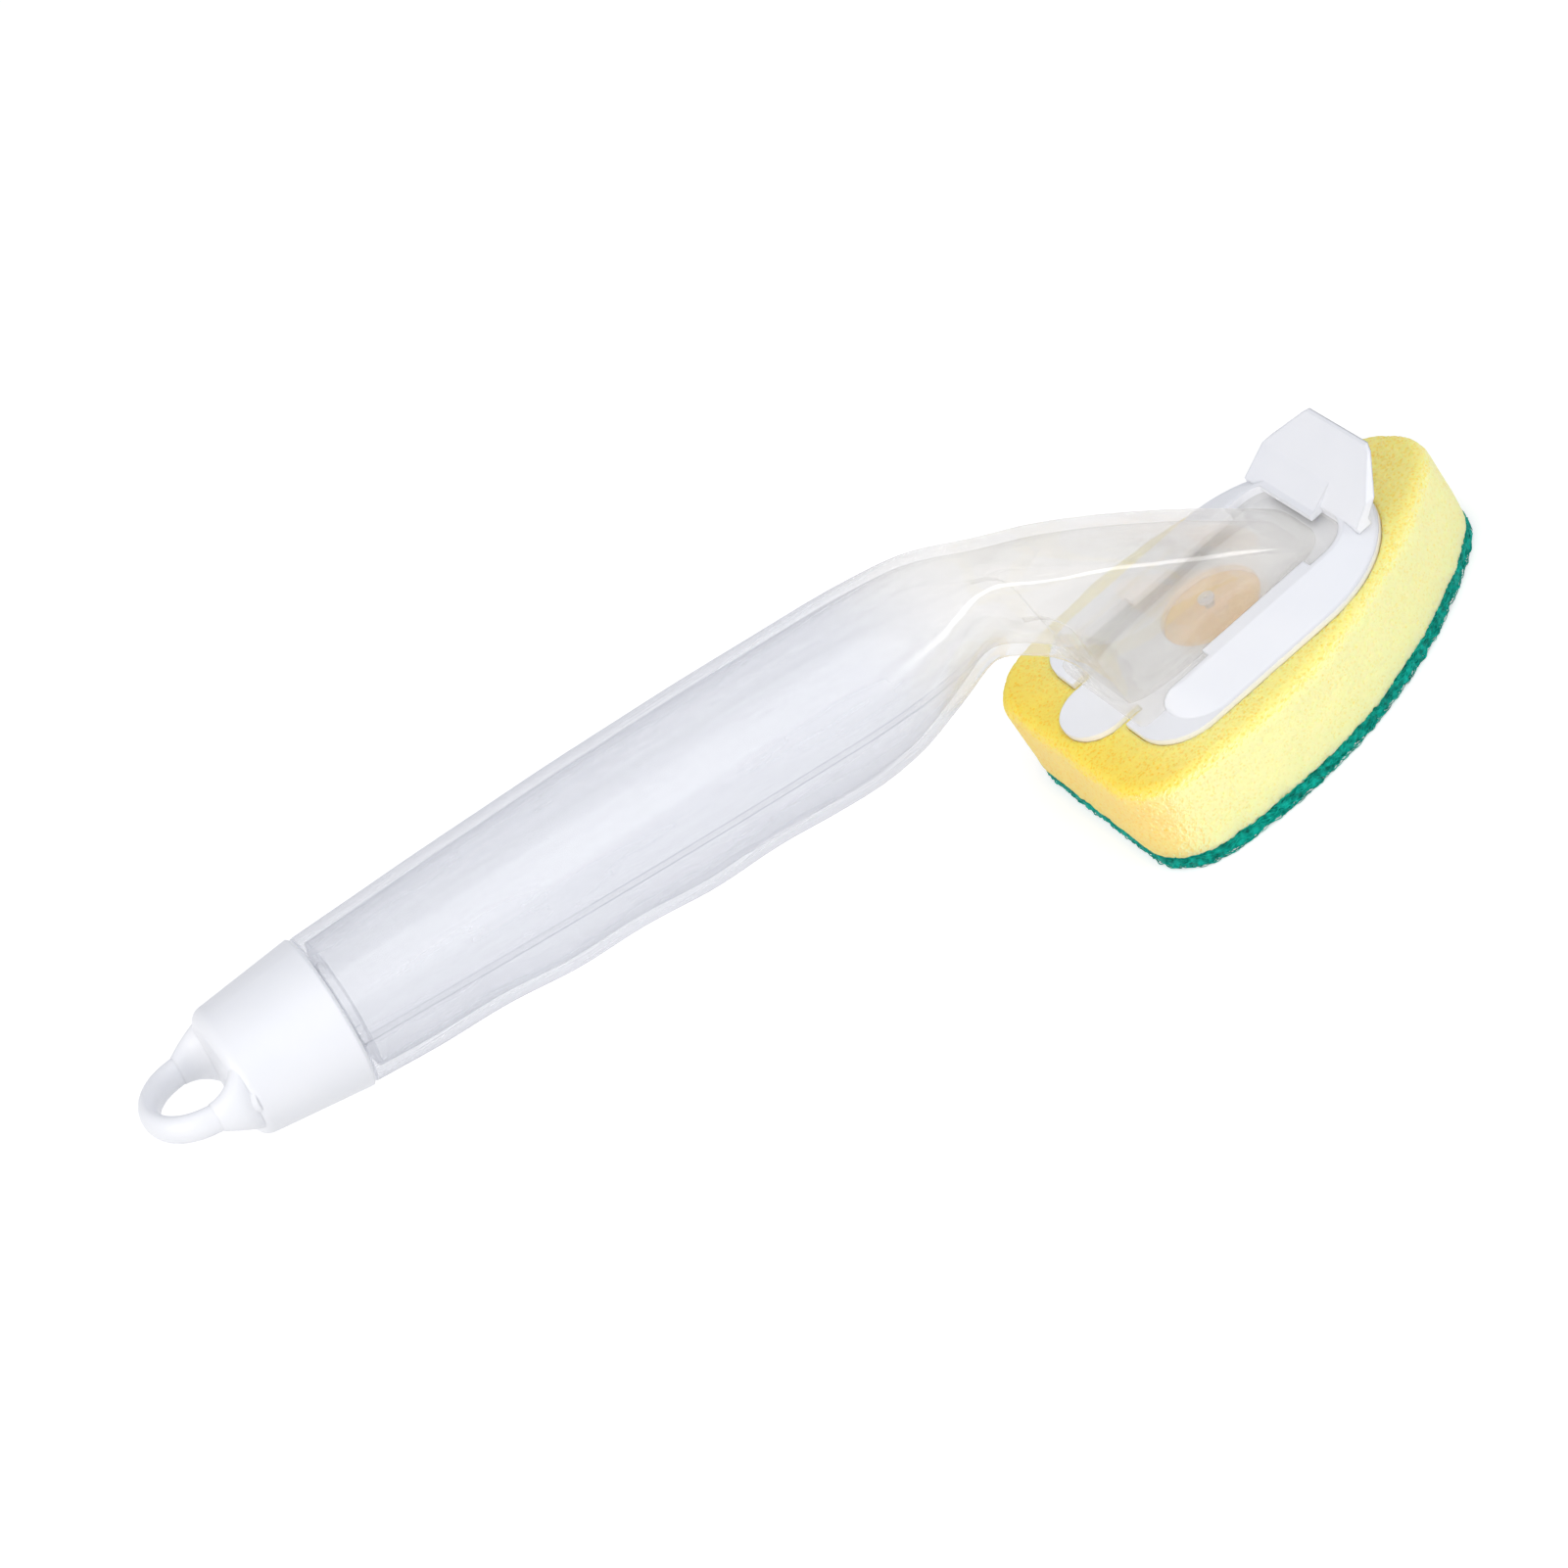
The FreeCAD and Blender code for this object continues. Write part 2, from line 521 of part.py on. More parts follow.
def grip_stations():
    """Stations along the straight grip, one on each crest and dip of the finger waves."""
    stops = [0.0]
    along = size("grip_wave_first") - size("grip_wave_pitch") / 2
    while along < size("grip_length") - size("grip_wave_pitch") / 4:
        stops.append(along)
        along += size("grip_wave_pitch") / 2
    stops.append(size("grip_length"))
    stations = []
    for along in stops:
        radius = grip_radius(along)
        dip = grip_wave(along) if 0.0 < along < size("grip_length") else 0.0
        low, high = axis_point(along, dip - radius), axis_point(along, radius)
        stations.append((low, high, radius, radius, ROUND, ROUND))
    return stations


def head_stations():
    """Stations from the neck down to the flange: low ends on the throat, high ends on the sloping roof."""
    neck_low, neck_high = bend_pair("neck")
    crown = axis_point(size("grip_length")).x + size("throat_ahead")
    throat_length = size("rear_ledge") - size("flange_rear") - crown
    throat_height = neck_low.z + size("throat_rise") - flange_top
    nose = size("flange_front") - size("nose_ledge")
    nose_half = size("flange_half_width") - size("side_ledge")
    rear_half = size("flange_half_width") - size("rear_side_ledge")
    roof_reach = nose - crown - throat_length * ROOF_SHARE
    roof_height = neck_high.z - size("roof_drop") - flange_top
    stations = []
    for step in range(HEAD_STATIONS, -1, -1):
        share = step / HEAD_STATIONS
        turn = math.radians(THROAT_SWEEP) * (0.6 * share + 0.4 * share ** 2)
        low = Vector(crown + throat_length * math.cos(turn), 0, flange_top + throat_height * math.sin(turn))
        rise = (roof_height + size("roof_bow")) * share - size("roof_bow") * share ** 2
        high = Vector(nose - roof_reach * share, 0, flange_top + rise)
        ease = share * share * (3 - 2 * share)
        roof = nose_half * (1 - ease) + size("neck_roof_half_width") * ease
        roof += size("roof_bulge") * math.sin(math.pi * share)
        edge = 1.0 if step < HEAD_STATIONS else 0.0
        roof_power = NECK_ROOF_EDGE + (ROOF_EDGE - NECK_ROOF_EDGE) * edge
        rear_power = NECK_THROAT_EDGE + (REAR_EDGE - NECK_THROAT_EDGE) * edge
        stations.append((low, high, rear_half, roof, rear_power, roof_power))
    return stations


def body_stations():
    """All sections of the clear body from the cap end to the flange."""
    bends = []
    for name in ("shoulder", "neck"):
        radius = size(f"{name}_radius")
        bends.append(bend_pair(name) + (radius, radius, ROUND, ROUND))
    return fill_stations(grip_stations() + bends + head_stations())


def blend(before, start, end, after, gaps, share):
    """Smooth value between two stations, with slopes taken from their neighbours."""
    first, middle, last = gaps
    leave = (start - before) * (middle / first) + (end - start) * (first / middle)
    leave = leave * (middle / (first + middle))
    arrive = (end - start) * (last / middle) + (after - end) * (middle / last)
    arrive = arrive * (middle / (middle + last))
    square, cube = share * share, share * share * share
    return (start * (2 * cube - 3 * square + 1) + leave * (cube - 2 * square + share)
            + end * (3 * square - 2 * cube) + arrive * (cube - square))


def fill_stations(stations):
    """Close-set stations that run smoothly through the given ones."""
    middles = [(station[0] + station[1]) * 0.5 for station in stations]
    ends = [tuple(a * 2 - b for a, b in zip(stations[0], stations[1])),
            tuple(a * 2 - b for a, b in zip(stations[-1], stations[-2]))]
    run = [ends[0]] + stations + [ends[1]]
    filled = []
    for i in range(len(stations) - 1):
        length = (middles[i + 1] - middles[i]).Length
        gaps = [length, length, length]
        if i > 0:
            gaps[0] = (middles[i] - middles[i - 1]).Length
        if i + 2 < len(stations):
            gaps[2] = (middles[i + 2] - middles[i + 1]).Length
        steps = max(2, round(length / STATION_SPACING))
        for step in range(steps):
            quad = zip(run[i], run[i + 1], run[i + 2], run[i + 3])
            filled.append(tuple(blend(*values, gaps, step / steps) for values in quad))
    filled.append(stations[-1])
    return filled


def section_ring(station, inset_low=0.0, inset_high=0.0, inset_side=0.0):
    """Points of a closed section between a low and a high point, drawn in by the insets."""
    low, high, low_half, high_half, low_power, high_power = station
    spine = Vector(high - low).normalize()
    low = low + spine * inset_low
    high = high - spine * inset_high
    middle = (low + high) * 0.5
    reach = (high - low) * 0.5
    points = []
    for i in range(POINTS_PER_SECTION):
        turn = 2 * math.pi * i / POINTS_PER_SECTION - math.pi / 2
        across, along = math.cos(turn), math.sin(turn)
        power = high_power if along > 0 else low_power
        radius = (abs(across) ** power + abs(along) ** power) ** (-1 / power)
        height = radius * along
        half = low_half + (high_half - low_half) * (height + 1) / 2 - inset_side
        points.append(middle + reach * height + Vector(0, half * radius * across, 0))
    return points + points[:1]


def skin(rings):
    """Solid with a smooth skin through a run of sections and a flat face at each end."""
    surface = Part.BSplineSurface()
    surface.interpolate(rings)
    first, last = surface.bounds()[:2]
    faces = [surface.toShape()]
    for end in (first, last):
        faces.append(Part.Face(Part.Wire(surface.uIso(end).toShape())))
    shell = Part.makeShell(faces)
    shell.sewShape()
    solid = Part.makeSolid(shell)
    if solid.Volume < 0:
        solid.reverse()
    return solid


def slant(stations, index, end):
    """How much longer a wall is along a section than square to the surface there."""
    before = stations[max(index - 1, 0)][end]
    after = stations[min(index + 1, len(stations) - 1)][end]
    surface = Vector(after - before).normalize()
    spine = Vector(stations[index][1] - stations[index][0]).normalize()
    return 1 / abs(surface.x * spine.z - surface.z * spine.x)


def helix_ridge(radius, height, foot, crest, turns, outward):
    """Thread ridge round the Z axis that starts at z = 0 and is sunk a little into its wall."""
    sink = size("thread_gap")
    way = 1 if outward else -1
    path = Part.makeHelix(size("thread_pitch"), size("thread_pitch") * turns, radius)
    corners = [Vector(radius - way * sink, 0, -foot / 2), Vector(radius, 0, -foot / 2),
               Vector(radius + way * height, 0, -crest / 2), Vector(radius + way * height, 0, crest / 2),
               Vector(radius, 0, foot / 2), Vector(radius - way * sink, 0, foot / 2)]
    profile = Part.makePolygon(corners + corners[:1])
    return Part.Wire(path).makePipeShell([profile], True, True)


def outward_placement(out):
    """Places a shape made round the Z axis on the grip's axis, its origin the given way out of the grip."""
    return Placement(axis_point(-out), Rotation(Vector(0, 1, 0), size("handle_tilt") - 90))


def plan_wire(rear, front, half, rear_radius, front_radius, height):
    """Rounded rectangle about the X axis as a wire."""
    pieces = [
        line((rear, half - rear_radius), (rear, rear_radius - half)),
        arc((rear + rear_radius, rear_radius - half), rear_radius, 180, 270),
        line((rear + rear_radius, -half), (front - front_radius, -half)),
        arc((front - front_radius, front_radius - half), front_radius, 270, 360),
        line((front, front_radius - half), (front, half - front_radius)),
        arc((front - front_radius, half - front_radius), front_radius, 0, 90),
        line((front - front_radius, half), (rear + rear_radius, half)),
        arc((rear + rear_radius, half - rear_radius), rear_radius, 90, 180),
    ]
    wire = Part.Wire([piece.toShape() for piece in pieces])
    wire.translate(Vector(0, 0, height))
    return wire


def lower_region():
    """Everything below the seam, which runs along the grip, round the throat and down to the flange."""
    lean = math.radians(size("seam_lean"))
    foot = Vector(size("seam_inset") - size("flange_rear"), 0, flange_top)
    upright = Vector(-math.sin(lean), 0, math.cos(lean))
    start = axis_point(-FAR)
    forward = Vector(axis_point(1.0) - axis_point(0.0))
    gap = foot - start
    crossing = gap.x * upright.z - gap.z * upright.x
    corner = start + forward * (crossing / (forward.x * upright.z - forward.z * upright.x))
    turn = math.acos(forward.dot(upright * -1))
    trim = size("seam_radius") * math.tan(turn / 2)
    into = corner - forward * trim
    out = corner - upright * trim
    inside = Vector((forward * -1) - upright).normalize()
    middle = corner + inside * (size("seam_radius") / math.cos(turn / 2) - size("seam_radius"))
    ahead = Vector(FAR, 0, flange_top)
    deep = Vector(FAR, 0, -FAR)
    back = Vector(start.x, 0, -FAR)
    edges = [Part.LineSegment(start, into).toShape(), Part.Arc(into, middle, out).toShape()]
    corners = [out, foot, ahead, deep, back, start]
    for i in range(len(corners) - 1):
        edges.append(Part.LineSegment(corners[i], corners[i + 1]).toShape())
    face = Part.Face(Part.Wire(edges))
    face.translate(Vector(0, -FAR / 2, 0))
    return face.extrude(Vector(0, FAR, 0))


def clear_body():
    """Hollow clear body with its threaded mouth, before the seam divides it and without the flange."""
    wall = size("wall")
    stations = body_stations()
    outer = skin([section_ring(station) for station in stations])
    spout = Part.makeCylinder(size("spout_radius"), size("spout_length") + wall, Vector(0, 0, -wall))
    spout.Placement = outward_placement(0).multiply(spout.Placement)
    ridge = helix_ridge(size("spout_radius"), size("thread_height"), size("thread_foot"),
                        size("thread_crest"), THREAD_TURNS_SPOUT, True)
    ridge.Placement = outward_placement(size("thread_start"))

    rings = []
    for i, station in enumerate(stations):
        if i == 0:
            radius = grip_radius(wall)
            station = (axis_point(wall, -radius), axis_point(wall, radius), radius, radius, ROUND, ROUND)
        low_wall, high_wall = wall * slant(stations, i, 0), wall * slant(stations, i, 1)
        rings.append(section_ring(station, low_wall, high_wall, wall))
    inner = skin(rings)
    bore = Part.makeCylinder(size("spout_bore"), size("spout_length") + 3 * wall, Vector(0, 0, -2 * wall))
    bore.Placement = outward_placement(0).multiply(bore.Placement)
    return outer.fuse(spout).fuse(ridge).cut(inner).cut(bore)


def flange_floor():
    """Flanged floor of the head with the outlet hole."""
    plan = plan_wire(-size("flange_rear"), size("flange_front"), size("flange_half_width"),
                     size("flange_rear_radius"), size("flange_front_radius"), flange_base)
    floor = Part.Face(plan).extrude(Vector(0, 0, size("flange_thickness")))
    outlet = Part.makeCylinder(size("valve_stem_radius") + size("valve_fit"), 2 * size("flange_thickness"),
                               Vector(0, 0, flange_base - size("flange_thickness") / 2))
    return floor.cut(outlet)


def make_shells():
    """Upper and lower shell, which meet face to face along the weld seam."""
    whole = clear_body()
    below = lower_region()
    upper = whole.cut(below)
    lower = whole.common(below).fuse(flange_floor())
    shells = []
    for name, shape in (("handle_upper_shell", upper), ("handle_lower_shell", lower)):
        shell = doc.addObject("Part::Feature", name)
        shell.Label = name
        shell.Shape = shape.Solids[0] if len(shape.Solids) == 1 else shape
        shell.Placement = Placement()
        shells.append(shell)
    return shells


def make_outlet_valve():
    body = new_body("outlet_valve")
    body.setExpression("Placement.Base.z", FLANGE_BASE)
    profile = new_sketch(body, "valve_section", "XZ_Plane")
    top = "Sizes.flange_thickness + Sizes.valve_head_thickness"
    bound_polygon(profile, [
        ("Sizes.valve_slit_radius", "0"), ("Sizes.valve_stem_radius", "0"),
        ("Sizes.valve_stem_radius", "Sizes.flange_thickness"),
        ("Sizes.valve_head_radius", "Sizes.flange_thickness"),
        ("Sizes.valve_head_radius", top), ("Sizes.valve_slit_radius", top)])
    spin = add_feature(body, "Revolution", "valve_body", profile)
    spin.ReferenceAxis = (plane_of(body, "Z_Axis"), "")
    spin.Angle = 360
    doc.recompute()
    return body


def place_on_axis(body):
    """Stands a body's local X axis on the grip's axis, pointing towards the head."""
    body.Placement = Placement(Vector(), Rotation(Vector(0, 1, 0), size("handle_tilt")))
    body.setExpression("Placement.Base.x", f"-Sizes.grip_end_back - Sizes.grip_length * cos({TILT})")
    body.setExpression("Placement.Base.z", f"Sizes.grip_end_height + Sizes.grip_length * sin({TILT})")
    body.setExpression("Placement.Rotation.Angle", "Sizes.handle_tilt")


def make_cap_gasket():
    body = new_body("cap_gasket")
    place_on_axis(body)
    ring = new_sketch(body, "ring_section", "XZ_Plane")
    near = "-(Sizes.spout_length + Sizes.seal_gap)"
    far = "-(Sizes.spout_length + Sizes.seal_gap + Sizes.gasket_thickness)"
    edge = f"{CAP_BORE} - Sizes.seal_gap"
    hole = "Sizes.gasket_hole"
    bound_polygon(ring, [(far, hole), (near, hole), (near, edge), (far, edge)])
    spin = add_feature(body, "Revolution", "ring", ring)
    spin.ReferenceAxis = (plane_of(body, "X_Axis"), "")
    spin.Angle = 360
    doc.recompute()
    return body


def oval_sketch(body, name, out, middle, width, thickness, side):
    """Upright ellipse across the grip's axis, its middle on the left (1) or the right (-1) of it."""
    sketch = new_sketch(body, name, "YZ_Plane", f"-({out})")
    centre = side * value_of(middle)
    tall, wide = value_of(thickness) / 2, value_of(width) / 2
    oval = Part.Ellipse(Vector(centre, tall, 0), Vector(centre + wide, 0, 0), Vector(centre, 0, 0))
    sketch.addGeometry(oval, False)
    sketch.exposeInternalGeometry(0)
    ends = (-1, 1, 0, 3) if side > 0 else (0, 3, -1, 1)
    constrain(sketch, "DistanceX", ends, "middle", middle)
    sketch.addConstraint(Sketcher.Constraint("PointOnObject", 0, 3, -1))
    sketch.addConstraint(Sketcher.Constraint("Vertical", 1))
    constrain(sketch, "Distance", (1,), "tall", thickness)
    constrain(sketch, "Distance", (2,), "wide", width)
    doc.recompute()
    return sketch


def make_end_cap():
    body = new_body("cap_body")
    place_on_axis(body)
    section = new_sketch(body, "cap_section", "XZ_Plane")
    seat = "-(Sizes.spout_length + 2 * Sizes.seal_gap + Sizes.gasket_thickness)"
    core = "-(Sizes.cap_length - Sizes.cap_end_wall)"
    bound_polygon(section, [
        ("-Sizes.cap_length", "0"), (core, "0"), (core, "Sizes.cap_core_radius"),
        (seat, "Sizes.cap_core_radius"), (seat, CAP_BORE), ("-Sizes.cap_gap", CAP_BORE),
        ("-Sizes.cap_gap", "Sizes.cap_rim_radius - Sizes.cap_rim_chamfer"),
        ("-Sizes.cap_gap - Sizes.cap_rim_chamfer", "Sizes.cap_rim_radius"),
        ("-Sizes.cap_length", "Sizes.cap_end_radius")])
    spin = add_feature(body, "Revolution", "cap_shell", section)
    spin.ReferenceAxis = (plane_of(body, "X_Axis"), "")
    spin.Angle = 360
    doc.recompute()
    end_edges = []
    for i, edge in enumerate(spin.Shape.Edges, start=1):
        centre = edge.BoundBox.Center
        wide = edge.BoundBox.ZLength
        if abs(centre.x + size("cap_length")) < 1e-4 and abs(wide - 2 * size("cap_end_radius")) < 1e-3:
            end_edges.append(f"Edge{i}")
    rounding = body.newObject("PartDesign::Fillet", "cap_end_rounding")
    rounding.Base = (spin, end_edges)
    rounding.setExpression("Radius", "Sizes.cap_end_round")
    doc.recompute()

    path = new_sketch(body, "loop_path", "XY_Plane")
    root = -(size("cap_length") - size("cap_end_wall") * ROOT_SHARE)
    bend = -(size("loop_reach") - size("loop_strap_width") / 2 - size("loop_radius"))
    half = size("loop_radius")
    spread = size("loop_root")
    reach = math.hypot(root - bend, spread)
    touch = math.degrees(math.atan2(spread, root - bend) + math.acos(half / reach))
    leave = (bend + half * math.cos(math.radians(touch)), half * math.sin(math.radians(touch)))
    path.addGeometry(line((root, spread), leave), False)
    path.addGeometry(arc((bend, 0), half, touch, 360 - touch), False)
    path.addGeometry(line((leave[0], -leave[1]), (root, -spread)), False)
    path.addConstraint(Sketcher.Constraint("Tangent", 0, 2, 1, 1))
    path.addConstraint(Sketcher.Constraint("Tangent", 1, 2, 2, 1))
    path.addConstraint(Sketcher.Constraint("PointOnObject", 1, 3, -1))
    constrain(path, "DistanceY", (-1, 1, 0, 1), "spread_left", "Sizes.loop_root")
    constrain(path, "DistanceY", (2, 2, -1, 1), "spread_right", "Sizes.loop_root")
    constrain(path, "Radius", (1,), "radius", "Sizes.loop_radius")
    start = f"Sizes.cap_length - Sizes.cap_end_wall * {ROOT_SHARE}"
    constrain(path, "DistanceX", (0, 1, -1, 1), "root_left", start)
    constrain(path, "DistanceX", (2, 2, -1, 1), "root_right", start)
    constrain(path, "DistanceX", (1, 3, -1, 1), "bend",
              "Sizes.loop_reach - Sizes.loop_strap_width / 2 - Sizes.loop_radius")
    doc.recompute()
    strap = oval_sketch(body, "loop_strap", start, "Sizes.loop_root", "Sizes.loop_strap_width",
                        "Sizes.loop_strap_thickness", 1)
    loop = body.newObject("PartDesign::AdditivePipe", "hanging_loop")
    loop.Profile = strap
    loop.Spine = (path, [])
    doc.recompute()

    ahead = f"(Sizes.loop_reach - Sizes.loop_strap_width / 2 - Sizes.loop_radius - ({start}))"
    span = f"sqrt({ahead} ^ 2 + Sizes.loop_root ^ 2)"
    draw = f"tan(atan(Sizes.loop_root / {ahead}) - asin(Sizes.loop_radius / {span}))"
    foot_middle = "Sizes.cap_end_radius - Sizes.cap_end_round / 4 - Sizes.loop_foot_width / 2"
    instep = "Sizes.cap_length + Sizes.loop_flare_length / 3"
    ankle = "Sizes.cap_length + Sizes.loop_flare_length"
    for side, name in ((1, "left"), (-1, "right")):
        low = oval_sketch(body, f"flare_foot_{name}", "Sizes.cap_length - Sizes.loop_foot_depth", foot_middle,
                          "Sizes.loop_foot_width", "2 * (Sizes.cap_end_radius - Sizes.loop_foot_inset)", side)
        middle = oval_sketch(body, f"flare_instep_{name}", instep,
                             f"Sizes.loop_root - ({draw}) * ({instep} - ({start}))",
                             "Sizes.loop_instep_width", "Sizes.loop_instep_thickness", side)
        high = oval_sketch(body, f"flare_ankle_{name}", ankle,
                           f"Sizes.loop_root - ({draw}) * ({ankle} - ({start}))",
                           f"Sizes.loop_strap_width * {ANKLE_SHARE}",
                           f"Sizes.loop_strap_thickness * {ANKLE_SHARE}", side)
        flare = body.newObject("PartDesign::AdditiveLoft", f"loop_flare_{name}")
        flare.Profile = low
        flare.Sections = [middle, high]
        doc.recompute()

    ridge = doc.addObject("Part::Feature", "cap_thread")
    bore = value_of(CAP_BORE)
    ridge.Shape = helix_ridge(bore, size("thread_height"), size("thread_foot"), size("thread_crest"),
                              THREAD_TURNS_CAP, False)
    ridge.Placement = outward_placement(size("thread_start") + size("thread_pitch") / 2)
    cap = doc.addObject("Part::Fuse", "end_cap")
    cap.Base = body
    cap.Tool = ridge
    cap.Label = "end_cap"
    doc.recompute()
    return cap


parts = [make_scour_pad(), make_sponge(), make_refill_plate()]
parts += [make_outlet_valve(), make_cap_gasket(), make_end_cap()]
parts += make_shells()
doc.recompute()

for item in doc.Objects:
    for state in item.State:
        if state in ("Invalid", "Error"):
            raise RuntimeError(f"{item.Name} failed: {item.State}")
for item in parts:
    if item.Shape.isNull() or not item.Shape.isValid() or len(item.Shape.Solids) != 1:
        raise RuntimeError(f"{item.Label} is not one valid solid")

os.makedirs("parts", exist_ok=True)
for item in parts:
    item.Shape.exportStep(f"parts/{item.Label}.step")
    box = item.Shape.BoundBox
    print(f"{item.Label}: {len(item.Shape.Solids)} solid, {item.Shape.Volume:.0f} mm3")
    print(f"  x {box.XMin:.1f} to {box.XMax:.1f}, y {box.YMin:.1f} to {box.YMax:.1f}")
    print(f"  z {box.ZMin:.1f} to {box.ZMax:.1f}")
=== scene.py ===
import itertools
import math

import bpy
import numpy as np
from mathutils import Matrix, Vector


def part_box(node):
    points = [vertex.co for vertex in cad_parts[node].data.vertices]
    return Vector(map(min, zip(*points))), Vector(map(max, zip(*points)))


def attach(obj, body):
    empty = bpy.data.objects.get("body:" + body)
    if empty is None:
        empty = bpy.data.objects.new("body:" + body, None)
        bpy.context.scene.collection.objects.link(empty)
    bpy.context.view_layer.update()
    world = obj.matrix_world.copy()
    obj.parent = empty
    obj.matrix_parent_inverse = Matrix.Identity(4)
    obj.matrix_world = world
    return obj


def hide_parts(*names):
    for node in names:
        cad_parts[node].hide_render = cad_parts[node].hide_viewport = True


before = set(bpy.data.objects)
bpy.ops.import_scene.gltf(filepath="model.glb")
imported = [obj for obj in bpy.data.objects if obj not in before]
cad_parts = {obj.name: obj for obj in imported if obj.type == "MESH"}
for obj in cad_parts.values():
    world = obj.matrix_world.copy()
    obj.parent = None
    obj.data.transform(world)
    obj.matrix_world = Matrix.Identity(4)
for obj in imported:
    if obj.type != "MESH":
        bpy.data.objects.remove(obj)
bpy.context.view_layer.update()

MM = 0.001
rng = np.random.default_rng(seed=11)


def node_box(node):
    """Lowest and highest corners of a CAD node, in millimetres to a tenth."""
    return [[round(value / MM, 1) for value in corner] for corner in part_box(node)]


# Foam and pad, in millimetres like all sizes below: ends and heights, half of the straight rear side, and
# the radii of the rear corners, the long sides and the tip.
FOAM_LOW, FOAM_HIGH = node_box("sponge")
FOAM_REAR = -FOAM_LOW[0]
FOAM_FRONT = FOAM_HIGH[0]
PAD_TOP = FOAM_LOW[2]
FOAM_TOP = FOAM_HIGH[2]
FOAM_STRAIGHT = 20.4
CORNER_RADIUS = 14.4
SIDE_RADIUS = 93.0
TIP_RADIUS = 15.8

# Floor of the refill plate in plan: ends, half width and the radii at its ends.
PLATE_LOW, PLATE_HIGH = node_box("refill_plate")
PLATE_REAR = -30.7
PLATE_FRONT = 38.8
PLATE_HALF = PLATE_HIGH[1]
PLATE_REAR_RADIUS = 11.5
PLATE_FRONT_RADIUS = 27.0

# Slots in the plate on both sides of its tongue, and the tongue, which is the plate's rearmost part.
SLOT_MIDDLE = 9.8
SLOT_REAR = -34.0
SLOT_FRONT = -26.0
SLOT_HALF = 1.1
SLOT_RADIUS = 0.2
TONGUE_REAR = PLATE_LOW[0]
TONGUE_FRONT = -24.0
TONGUE_HALF = 8.7
TONGUE_REAR_RADIUS = 8.3
TONGUE_FRONT_RADIUS = 1.0

# Where the clear head ends and the milky grip begins, and the grip's slope in radians.
HEAD_REAR = -34.0
GRIP_FRONT = -70.0
GRIP_SLOPE = 0.196

# Weld seam along the grip: its height square to the grip's slope, how far its faces stray from that,
# half the width of the line that shows outside, and how square a weld face is to the seam's upright.
SEAM_LEVEL = 52.5
SEAM_REACH = 0.4
SEAM_LINE = 0.16
SEAM_SQUARE = 0.97

# Painted shade on the foam under the outlet, a deeper spot seen through the plate's hole: radii of its middle
# and its rim.
OUTLET_SHADE_MIDDLE = 12.0
OUTLET_SHADE_RIM = 17.0

# Stretch over which the top of the foam turns to its deeper rear colour, painted shade near the plate's rear.
TOP_SHADE_START = -20.0
TOP_SHADE_END = -42.0

# Camera fitted to the photograph: place, turn and lens.
CAMERA_TARGET = Vector((-91.747, 0.0, 60.989)) * MM
CAMERA_DISTANCE = 955.63 * MM
CAMERA_AZIMUTH = math.radians(-7.406)
CAMERA_ELEVATION = math.radians(35.018)
CAMERA_ROLL = math.radians(-36.966)
SENSOR_WIDTH = 36.0
PHOTO_WIDTH_PIXELS = 1601.0
FOCAL_PIXELS = 4962.32


# Node helpers

# Places of the colour sockets on a mix node.
MIX_SHARE = 0
MIX_FIRST = 6
MIX_SECOND = 7
MIX_RESULT = 2


def rgb(red, green, blue):
    """Opaque colour."""
    return (red, green, blue, 1.0)


def grey(value):
    """Opaque grey."""
    return rgb(value, value, value)


def new_tree(name):
    """Material with an empty node tree."""
    material = bpy.data.materials.new(name)
    material.use_nodes = True
    material.node_tree.nodes.clear()
    return material, material.node_tree


def feed(tree, socket, value):
    """Links an input to another node's socket, or sets its value."""
    if isinstance(value, bpy.types.NodeSocket):
        tree.links.new(value, socket)
    else:
        socket.default_value = value


def add(tree, kind, settings=None, **inputs):
    """Node with its settings and inputs; an input is a value or another node's socket."""
    made = tree.nodes.new("ShaderNode" + kind)
    for key, value in (settings or {}).items():
        setattr(made, key, value)
    for key, value in inputs.items():
        feed(tree, made.inputs[key.replace("_", " ")], value)
    return made


def add_in_order(tree, kind, settings, *values):
    """Node whose first inputs are fed in their order."""
    made = add(tree, kind, settings)
    for socket, value in zip(made.inputs, values):
        feed(tree, socket, value)
    return made


def maths(tree, operation, *values, clamp=False):
    """Result of a math node."""
    settings = {"operation": operation, "use_clamp": clamp}
    return add_in_order(tree, "Math", settings, *values).outputs[0]


def dot(tree, vector, direction):
    """Part of a vector along a direction."""
    settings = {"operation": "DOT_PRODUCT"}
    return add_in_order(tree, "VectorMath", settings, vector, direction).outputs["Value"]


def mix_shader(tree, share, first, second):
    """Mix of two shaders."""
    return add_in_order(tree, "MixShader", None, share, first, second).outputs[0]


def mix(tree, share, first, second):
    """Mix of two colours."""
    made = add(tree, "Mix", {"data_type": "RGBA"})
    feed(tree, made.inputs[MIX_SHARE], share)
    feed(tree, made.inputs[MIX_FIRST], first)
    feed(tree, made.inputs[MIX_SECOND], second)
    return made.outputs[MIX_RESULT]


def ramp(tree, share, stops):
    """Colour ramp through (place, colour) stops."""
    made = add_in_order(tree, "ValToRGB", None, share)
    band = made.color_ramp
    while len(band.elements) < len(stops):
        band.elements.new(0.5)
    for element, (place, colour) in zip(band.elements, stops):
        element.position = place
        element.color = colour
    return made.outputs[0]


def fade(tree, value, start, end):
    """Share that rises smoothly from 0 at one value to 1 at another."""
    settings = {"interpolation_type": "SMOOTHSTEP"}
    return add(tree, "MapRange", settings, Value=value, From_Min=start, From_Max=end).outputs[0]


